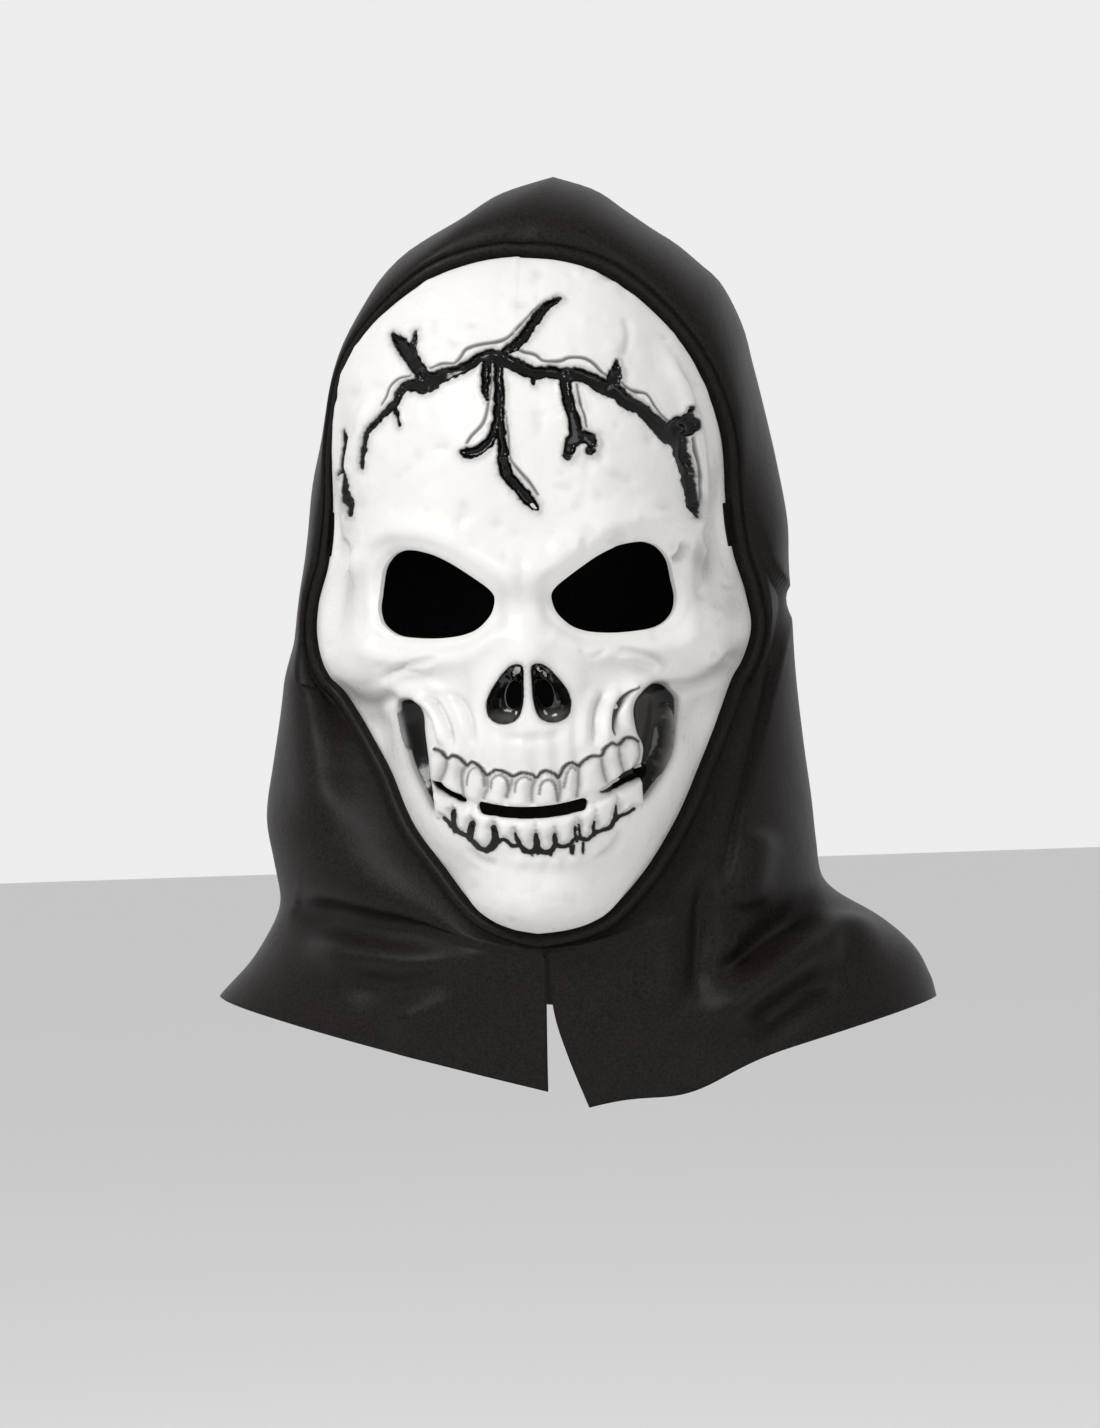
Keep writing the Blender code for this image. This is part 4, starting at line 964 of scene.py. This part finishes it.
def plane_sheet(loops, step, fine=None):
    """Triangles inside the first loop and outside the others; the loops' points come first."""
    rim, holes = loops[0], loops[1:]
    low, high = rim.min(axis=0), rim.max(axis=0)
    grid = grid_points(low, high, step)
    if fine is not None:
        detail = detail_map(low, high)
        close = grid_points(low, high, fine)
        grid = np.vstack([grid[detail(grid) > FINE_REACH + FINE_OVERLAP],
                          close[detail(close) < FINE_REACH]])
    margin = LOOP_MARGIN * min(step, 1.2)
    keep = room_to_rim(grid) > margin
    for hole in holes:
        keep &= signed_distance(grid, hole, 2.0) > margin
    points = np.vstack(loops + [grid[keep]])
    edges = [edge for pairs in loop_edges(loops) for edge in pairs]
    flat, _, faces, _, _, _ = delaunay_2d_cdt([tuple(p) for p in points], edges, [], 0, 1e-5)
    flat = np.array([tuple(p) for p in flat])
    faces = np.array(faces)
    middle = flat[faces].mean(axis=1)
    room = room_to_rim(middle)
    keep = room > 0
    doubtful = room < NOTCH_DEPTH + 3
    keep[doubtful] = inside(middle[doubtful], rim)
    for hole in holes:
        keep &= ~inside(middle, hole)
    return flat, faces[keep]


def make_mesh(name, points, faces, **fields):
    """A mesh from points in millimetres, with smooth faces and named float attributes."""
    mesh = bpy.data.meshes.new(name)
    mesh.from_pydata((points * MM).tolist(), [], [list(map(int, f)) for f in faces])
    mesh.validate()
    mesh.shade_smooth()
    for key, values in fields.items():
        layer = mesh.attributes.new(key, "FLOAT", "POINT")
        layer.data.foreach_set("value", np.asarray(values, np.float32))
    obj = bpy.data.objects.new(name, mesh)
    bpy.context.scene.collection.objects.link(obj)
    return obj


def soften(gap, strength, reach):
    """A shade that is strongest on a form and fades beside it."""
    return strength * np.exp(-np.maximum(gap, 0) / reach)


def solid(gap, strength, reach, start=0.0):
    """A shade of even strength on a form, with a short soft edge."""
    return strength * (1 - ease(gap, start, reach))


def paint(flat):
    """Where the black paint, grey airbrush, painted shade and painted highlight lie on the face, for its
    material.

    ink: signed distance in mm to the glossy black; below zero is painted.
    shade: grey to black, 0 to 1: the soft edges of the paint, the dark lines of the teeth and beside the
    right recess, the airbrush, and painted shade in grooves, dents, hollows and on the teeth. The last
    field: how far the black is greyed, by the airbrush in the recesses and nose and by a painted highlight
    along the ridges in the recesses.
    """
    bare = bare_shell(flat)[:, [0, 2]]
    front = cast_face(flat)[0][:, [0, 2]]
    h = front[:, 1]
    wobble = edge_wobble(front)
    cracks = crack_gap(front, wobble)
    gum, splits = gum_gap(front) + 0.4 * wobble, split_gap(front) + 0.6 * wobble
    roots = lower_tooth_gap(front, wobble)
    between = wedge_gap(front)
    lobes = nearest_outline(bare, nose_lobes, 6)
    recess = recess_gap(bare)
    ink = np.minimum.reduce([cracks, roots, between, lobes + 0.2, recess + 0.5])

    upper, lower = tooth_band(front)
    shades = [soften(cracks, 0.6, 1.0), soften(lobes, 0.4, 1.0), soften(recess, 0.7, 1.1),
              soften(between, 0.5, 0.9), soften(roots, 0.45, 0.6),
              # painted shade in the thin grooves beside the cracks; the black crescent line beside the
              # right recess
              solid(side_line_gap(front), 0.82, 0.8, -0.1), solid(stroke(front, CRESCENT), 0.95, 0.7),
              # the black gum line, with painted shade fading down the teeth below it
              solid(gum, 0.97, 0.7), soften(gum, 0.55, 1.2) * upper,
              # dark streaks between the upper teeth, with painted shade beside them
              solid(splits, 0.62, 0.9), soften(splits, 0.4, 1.3) * upper,
              # painted shade on the lower teeth beside the black between them, and in the seams up to the
              # bite
              soften(roots, 0.45, 1.2) * lower, 0.4 * bell(lower_seam_gap(front), 0.6) * lower,
              # airbrush and painted shade in the hollows; painted shade in the hammered dents
              airbrush_and_shade(front), 0.1 * ease(-hammered(front), 0.12, 0.8),
              # painted shade arcs where the bevels of the upper teeth lie
              solid(nearest_stroke(front, BEVEL_SHADE_ARCS), 0.72, 0.75)]
    # painted shade along the deeper grooves of the face
    shades += [-0.2 * amount * roll(front, line, half_w, (0.3, 0.7))
               for _, half_w, amount, line in FACE_LINES if amount < SHADED_LINE]
    # airbrushed grey inside the recesses and low in the nose
    grey_and_painted_highlights = [RECESS_GREY * ease(-recess, 1.5, 4.5) * ease(h, -76, -56),
             NOSE_GREY * ease(-lobes, 0.2, 1.5) * ease(-h, 44, 50)]
    # painted highlight along the raised ridges inside the jaw recesses
    grey_and_painted_highlights += [0.9 * roll(front, line, half_w, (0.15, 0.7)) for _, half_w, _, line in RECESS_RIDGES]
    return {"ink": ink, "shade": np.maximum.reduce(shades), "grey_and_painted_highlight": np.maximum.reduce(grey_and_painted_highlights)}


def build_shell():
    """The face: a fine outer sheet and a coarse inner one, joined round every edge."""
    holes = eye_holes + nostrils() + [mouth_slit()]
    loops = [rim_outline()] + [lay_flat(resample(hole, LOOP_SPACING, True)) for hole in holes]
    outer, outer_faces = plane_sheet(loops, SKIN_GRID, FINE_GRID)
    inner, inner_faces = plane_sheet(loops, LINING_GRID)
    shift = len(outer)
    faces = list(outer_faces) + [face[::-1] + shift for face in inner_faces]
    for number, pairs in enumerate(loop_edges(loops)):
        for a, b in pairs:
            if number:
                a, b = b, a
            faces += [(a, a + shift, b + shift), (a, b + shift, b)]
    blank = {"ink": 9.0, "shade": 0.0, "grey_and_painted_highlight": 0.0}
    fields = {key: np.concatenate([values, np.full(len(inner), blank[key])])
              for key, values in paint(outer).items()}
    lining = np.concatenate([np.zeros(len(outer)), np.ones(len(inner))])
    points = np.vstack([face_point(outer), face_point(inner, WALL)])
    obj = make_mesh("shell_skin", points, faces, lining=lining, **fields)
    obj.data.set_sharp_from_angle(angle=math.radians(SHARP_ANGLE))
    return obj


def edge_rows(side, stations):
    """The hood's lap and turned edge at each rim station, from the top to the chin."""
    turn = np.radians(stations)
    angle = turn if side > 0 else math.pi - turn
    wall = WALL + LAP_GAP + CLOTH / 2
    rows = [face_point(ring(LAP_DEPTH, angle), wall), face_point(ring(1.0, angle), wall)]
    edge = face_point(ring(0.0, angle))
    normal = shell_normals(ring(0.5, angle))
    past = edge - face_point(ring(1.0, angle))
    past /= np.linalg.norm(past, axis=1)[:, None]
    spread = spread_table(stations, 1 if side < 0 else 2)
    for out, back in smooth_line(EDGE_SECTION, 4):
        narrow = np.where(out > 0, spread, 1.0)
        rows.append(edge + normal * (out * narrow)[:, None] + past * back)
    return np.array(rows)


def quarter(start, end, corner, turn):
    """A quarter of an ellipse from start to end, about a corner."""
    return corner + (start - corner) * np.cos(turn) + (end - corner) * np.sin(turn)


def hood_line(front, station, side, steps):
    """One line across the cloth: from the front edge, over the side, to the back."""
    side_z = line_table(station, 1 if side < 0 else 2)
    back_z = line_table(station, 3)
    crown = ease(np.array(station), 90, 40)
    widest = np.array([side_table(side_z, 1 if side < 0 else 2),
                       SIDE_Y - CROWN_FORWARD * (1 - crown), side_z])
    back = np.array([SEAM_X, back_table(back_z, 1), back_z])
    turn = (np.where(steps <= 1, steps, steps - 1) * math.pi / 2)[:, None]
    first = quarter(front, widest, np.array([front[0], widest[1], front[2]]), turn)
    second = quarter(widest, back, np.array([back[0], widest[1], back[2]]), turn)
    return np.where((steps <= 1)[:, None], first, second)


def slit_front(station, side):
    left, right = (1, 3, 4), (2, 3, 5)
    return np.array([slit_table(-90 - station, column) for column in (left if side < 0 else right)])


def grid_normals(grid):
    normal = np.cross(np.gradient(grid, axis=0), np.gradient(grid, axis=1))
    size = np.linalg.norm(normal, axis=2)
    normal = normal / np.maximum(size, 1e-6)[:, :, None]
    outward = grid - [SEAM_X, SIDE_Y, 0]
    outward[:, :, 2] = 0.0
    flip = np.sign(np.sum(normal * outward, axis=2) + 1e-9)
    normal = normal * flip[:, :, None]
    normal[:, -1] = (0, 1, 0)
    return normal


def soften_flare(grid, stations, steps):
    """Rounds the bend where the cape starts, between the rim's lines and the slit's."""
    weights = np.hanning(2 * FLARE_REACH + 3)[1:-1]
    padded = np.concatenate([grid[:1]] * FLARE_REACH + [grid] + [grid[-1:]] * FLARE_REACH)
    smooth = sum(w * padded[i:i + len(grid)] for i, w in enumerate(weights)) / weights.sum()
    share = ease(-stations, 62, 78) * (1 - ease(-stations, 118, 134))
    share = (share[:, None] * ease(steps, 0.03, 0.25) * (1 - ease(steps, 1.8, 2.0)))[:, :, None]
    return grid + share * (smooth - grid)


def drape(grid, steps):
    """Folds of the cloth, faded out beside the rim, and low waves behind."""
    grid = grid.copy()
    middle, half_w, drop = HEM_SAG
    sag = drop * bell(grid[:, :, 0] - middle, half_w) * ease(-grid[:, :, 2], 295, 335)
    grid[:, :, 2] -= sag * (1 - ease(grid[:, :, 1], -60, -20))
    flat = grid.reshape(-1, 3)
    view = flat[:, [0, 2]]
    push = np.zeros(len(flat))
    for _, half_w, amount, line in FOLDS:
        push += FOLD_GAIN * amount * roll(view, line, half_w, (0.25, 0.75))
    line = smooth_line(PLEAT)
    gap, along = near_line(view, line, 40)
    outside = view[:, 0] - np.interp(-view[:, 1], -line[:, 1], line[:, 0])
    over = np.where(outside > 0, np.exp(-gap / PLEAT_FALL[0]), -np.exp(-gap / PLEAT_FALL[1]))
    taper = ease(along, 0, 0.2) * (1 - ease(along, 0.85, 1)) * ease(gap, 0, 1.2)
    push += PLEAT_RISE * over * taper
    push *= (1 - ease(flat[:, 1], 5, 40)) * ease(np.tile(steps, grid.shape[0]), 0.0, 0.3)
    turn = np.arctan2(flat[:, 1] - SIDE_Y, flat[:, 0] - SEAM_X)
    low = ease(-flat[:, 2], 170, 300) * ease(flat[:, 1], 15, 60)
    waves = BACK_WAVE_RISE * np.cos(2 * BACK_WAVES * turn) * low
    normals = grid_normals(grid).reshape(-1, 3)
    level = np.column_stack([np.cos(turn), np.sin(turn), np.zeros(len(flat))])
    return (flat + normals * push[:, None] + level * waves[:, None]).reshape(grid.shape)


def build_hood():
    """Two halves joined at the centre seam, each with its turned edge, as one sheet of cloth."""
    rim_stations = np.arange(90, -90 - 1e-6, -STATION_STEP)
    slit_stations = np.arange(-90 - STATION_STEP, LAST_STATION - 1e-6, -STATION_STEP)
    stations = np.concatenate([rim_stations, slit_stations])
    steps = np.concatenate([np.linspace(0, EDGE_SHARE, EDGE_STEPS, endpoint=False),
                            np.linspace(EDGE_SHARE, 1.0, FRONT_STEPS, endpoint=False),
                            np.linspace(1.0, 2.0, BACK_STEPS)])
    points, faces = [], []
    count = 0
    for side in (-1, 1):
        edge = edge_rows(side, rim_stations)
        fronts = list(edge[-1]) + [slit_front(station, side) for station in slit_stations]
        lines = [hood_line(front, station, side, steps) for station, front in zip(stations, fronts)]
        main = drape(soften_flare(np.array(lines), stations, steps), steps)
        numbers = []
        for grid in (main, edge[:-1].transpose(1, 0, 2)):
            rows, columns = grid.shape[:2]
            numbers.append(count + np.arange(rows * columns).reshape(rows, columns))
            points.append(grid.reshape(-1, 3))
            count += rows * columns
        # the edge's last column is the main sheet's first one
        numbers[1] = np.column_stack([numbers[1], numbers[0][:len(rim_stations), 0]])
        for ids in numbers:
            corners = (ids[:-1, :-1], ids[1:, :-1], ids[1:, 1:], ids[:-1, 1:])
            quads = np.stack(corners, axis=-1).reshape(-1, 4)
            faces += list(quads[:, ::-1] if side > 0 else quads)
    obj = make_mesh("hood_cloth", np.vstack(points), faces)
    # joins the points that lie on each other at the seam, the crown and the chin
    join = obj.modifiers.new("weld", "WELD")
    join.merge_threshold = WELD_REACH * MM
    apply_modifiers(obj)
    thickness = obj.modifiers.new("cloth thickness", "SOLIDIFY")
    thickness.thickness = CLOTH * MM
    thickness.offset = 0.0
    apply_modifiers(obj)
    return obj


def apply_modifiers(obj):
    graph = bpy.context.evaluated_depsgraph_get()
    mesh = bpy.data.meshes.new_from_object(obj.evaluated_get(graph))
    obj.modifiers.clear()
    obj.data = mesh


class Nodes:
    """Short calls for building the nodes of a material or a world."""

    def __init__(self, owner):
        owner.use_nodes = True
        self.owner = owner
        self.tree = owner.node_tree
        self.shader = self.tree.nodes.get("Principled BSDF")

    def add(self, kind, inputs=(), **settings):
        node = self.tree.nodes.new(kind)
        for key, value in settings.items():
            setattr(node, key, value)
        for key, value in dict(inputs).items():
            node.inputs[key].default_value = value
        return node

    def link(self, source, target):
        self.tree.links.new(source, target)

    def field(self, name):
        node = self.add("ShaderNodeAttribute", attribute_name=name, attribute_type="GEOMETRY")
        return node.outputs["Fac"]

    def noise(self, scale, detail=2.0, rough=0.5):
        place = self.add("ShaderNodeTexCoord")
        node = self.add("ShaderNodeTexNoise", {"Scale": scale, "Detail": detail, "Roughness": rough})
        self.link(place.outputs["Object"], node.inputs["Vector"])
        return node.outputs["Fac"]

    def scale(self, value, low, high, out_low, out_high):
        node = self.add("ShaderNodeMapRange", {"From Min": low, "From Max": high, "To Min": out_low,
                                               "To Max": out_high})
        self.link(value, node.inputs["Value"])
        return node.outputs["Result"]

    def total(self, a, b):
        node = self.add("ShaderNodeMath", operation="ADD")
        self.link(a, node.inputs[0])
        self.link(b, node.inputs[1])
        return node.outputs[0]

    def mix(self, factor, a, b):
        node = self.add("ShaderNodeMix", data_type="RGBA")
        self.link(factor, node.inputs["Factor"])
        for slot, value in (("A", a), ("B", b)):
            socket = [s for s in node.inputs if s.name == slot and s.type == "RGBA"][0]
            if isinstance(value, tuple):
                socket.default_value = (*value, 1.0)
            else:
                self.link(value, socket)
        return [s for s in node.outputs if s.type == "RGBA"][0]

    def bump(self, height, strength, distance, below=None):
        node = self.add("ShaderNodeBump", {"Strength": strength, "Distance": distance})
        self.link(height, node.inputs["Height"])
        if below is not None:
            self.link(below, node.inputs["Normal"])
        return node.outputs["Normal"]


def plastic_material():
    """Glossy white moulded plastic, with black and grey paint, painted shade and a painted highlight where
    the fields say so.
    """
    n = Nodes(bpy.data.materials.new("white moulded plastic"))
    cloud = n.scale(n.noise(35.0, 3.0), 0.3, 0.7, 0, 1)
    # white darkened by the paint edges, the dark lines, the airbrush and the painted shade
    shaded = n.mix(n.field("shade"), n.mix(cloud, SHELL_WHITE, SHELL_IVORY), SHELL_DARK_PAINT_AND_SHADE)
    # the black paint, greyed by the airbrush and lightened by a painted highlight on the recess ridges
    black = n.mix(n.field("grey_and_painted_highlight"), PAINT_BLACK, GREY_AND_PAINTED_HIGHLIGHT)
    ink = n.total(n.field("ink"), n.scale(n.noise(900.0, 2.0), 0, 1, -0.12, 0.12))
    mask = n.scale(ink, -0.14, 0.2, 1, 0)
    colour = n.mix(n.field("lining"), n.mix(mask, shaded, black), SHELL_LINING)
    n.link(colour, n.shader.inputs["Base Color"])
    rough = n.total(n.scale(n.noise(260.0, 3.0), 0.3, 0.7, 0.26, 0.36), n.scale(mask, 0, 1, 0, -0.16))
    n.link(rough, n.shader.inputs["Roughness"])
    n.shader.inputs["Specular IOR Level"].default_value = 0.24
    skin = n.bump(n.noise(420.0, 3.0), 0.08, 0.0006)
    n.link(n.bump(n.noise(120.0, 2.0), 0.12, 0.002, skin), n.shader.inputs["Normal"])
    return n.owner


def cloth_material():
    """Warm black satin cloth with a fine mottled grain."""
    n = Nodes(bpy.data.materials.new("black satin cloth"))
    mottle = n.noise(900.0, 3.0, 0.7)
    base = n.mix(n.scale(mottle, 0.3, 0.7, 0, 1), CLOTH_DARK, CLOTH_LIGHT)
    colour = n.mix(n.scale(n.noise(30.0, 3.0), 0.3, 0.75, 0.0, 0.35), base, CLOTH_CLOUD)
    n.link(colour, n.shader.inputs["Base Color"])
    n.link(n.scale(mottle, 0.3, 0.7, 0.38, 0.50), n.shader.inputs["Roughness"])
    n.shader.inputs["Specular IOR Level"].default_value = 0.13
    grain = n.bump(mottle, 0.35, 0.0005)
    n.link(n.bump(n.noise(60.0, 3.0), 0.12, 0.003, grain), n.shader.inputs["Normal"])
    return n.owner


def floor_material():
    n = Nodes(bpy.data.materials.new("pale floor"))
    n.shader.inputs["Base Color"].default_value = (*FLOOR_GREY, 1.0)
    n.shader.inputs["Roughness"].default_value = 0.8
    return n.owner


def add_light(name, place, size, power):
    light = bpy.data.lights.new(name, "AREA")
    light.shape = "RECTANGLE"
    light.size, light.size_y = size
    light.energy = power
    obj = bpy.data.objects.new(name, light)
    obj.location = place
    aim = Vector(LIGHT_TARGET) - Vector(place)
    obj.rotation_euler = aim.to_track_quat("-Z", "Y").to_euler()
    bpy.context.scene.collection.objects.link(obj)


def build_stage():
    """Pale floor, soft light all round, and a camera at the photograph's angle."""
    mesh = bpy.data.meshes.new("floor")
    corners = [(-1, -1), (1, -1), (1, 1), (-1, 1)]
    mesh.from_pydata([(x * FLOOR_HALF, y * FLOOR_HALF, FLOOR_LEVEL) for x, y in corners], [],
                     [(0, 1, 2, 3)])
    floor = bpy.data.objects.new("floor", mesh)
    bpy.context.scene.collection.objects.link(floor)
    mesh.materials.append(floor_material())

    n = Nodes(bpy.data.worlds.new("studio"))
    background = n.tree.nodes["Background"]
    background.inputs["Color"].default_value = (1.0, 1.0, 1.0, 1.0)
    split = n.add("ShaderNodeSeparateXYZ")
    n.link(n.add("ShaderNodeTexCoord").outputs["Generated"], split.inputs[0])
    strength = n.scale(split.outputs["Y"], *WORLD_TURN, *WORLD_LIGHT)
    n.link(strength, background.inputs["Strength"])
    bpy.context.scene.world = n.owner
    for light in LIGHTS:
        add_light(*light)

    camera = bpy.data.cameras.new("camera")
    camera.lens = CAMERA_LENS
    camera.sensor_width = 36.0
    turn, roll_angle = math.radians(CAMERA_TURN), math.radians(CAMERA_ROLL)
    forward = Vector((-math.sin(turn), math.cos(turn), 0))
    right = Vector((math.cos(turn), math.sin(turn), 0))
    up = Vector((0, 0, 1))
    x_axis = right * math.cos(roll_angle) - up * math.sin(roll_angle)
    y_axis = up * math.cos(roll_angle) + right * math.sin(roll_angle)
    obj = bpy.data.objects.new("camera", camera)
    obj.matrix_world = Matrix.Translation(CAMERA_PLACE) @ Matrix(
        (x_axis, y_axis, -forward)).transposed().to_4x4()
    bpy.context.scene.collection.objects.link(obj)
    bpy.context.scene.camera = obj
    bpy.context.scene.view_settings.view_transform = "Standard"


def main():
    build_stage()
    shell = build_shell()
    shell.data.materials.append(plastic_material())
    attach(shell, "root")
    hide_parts("mask_shell")

    hood = build_hood()
    hood.data.materials.append(cloth_material())
    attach(hood, "root")
    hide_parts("hood")


main()
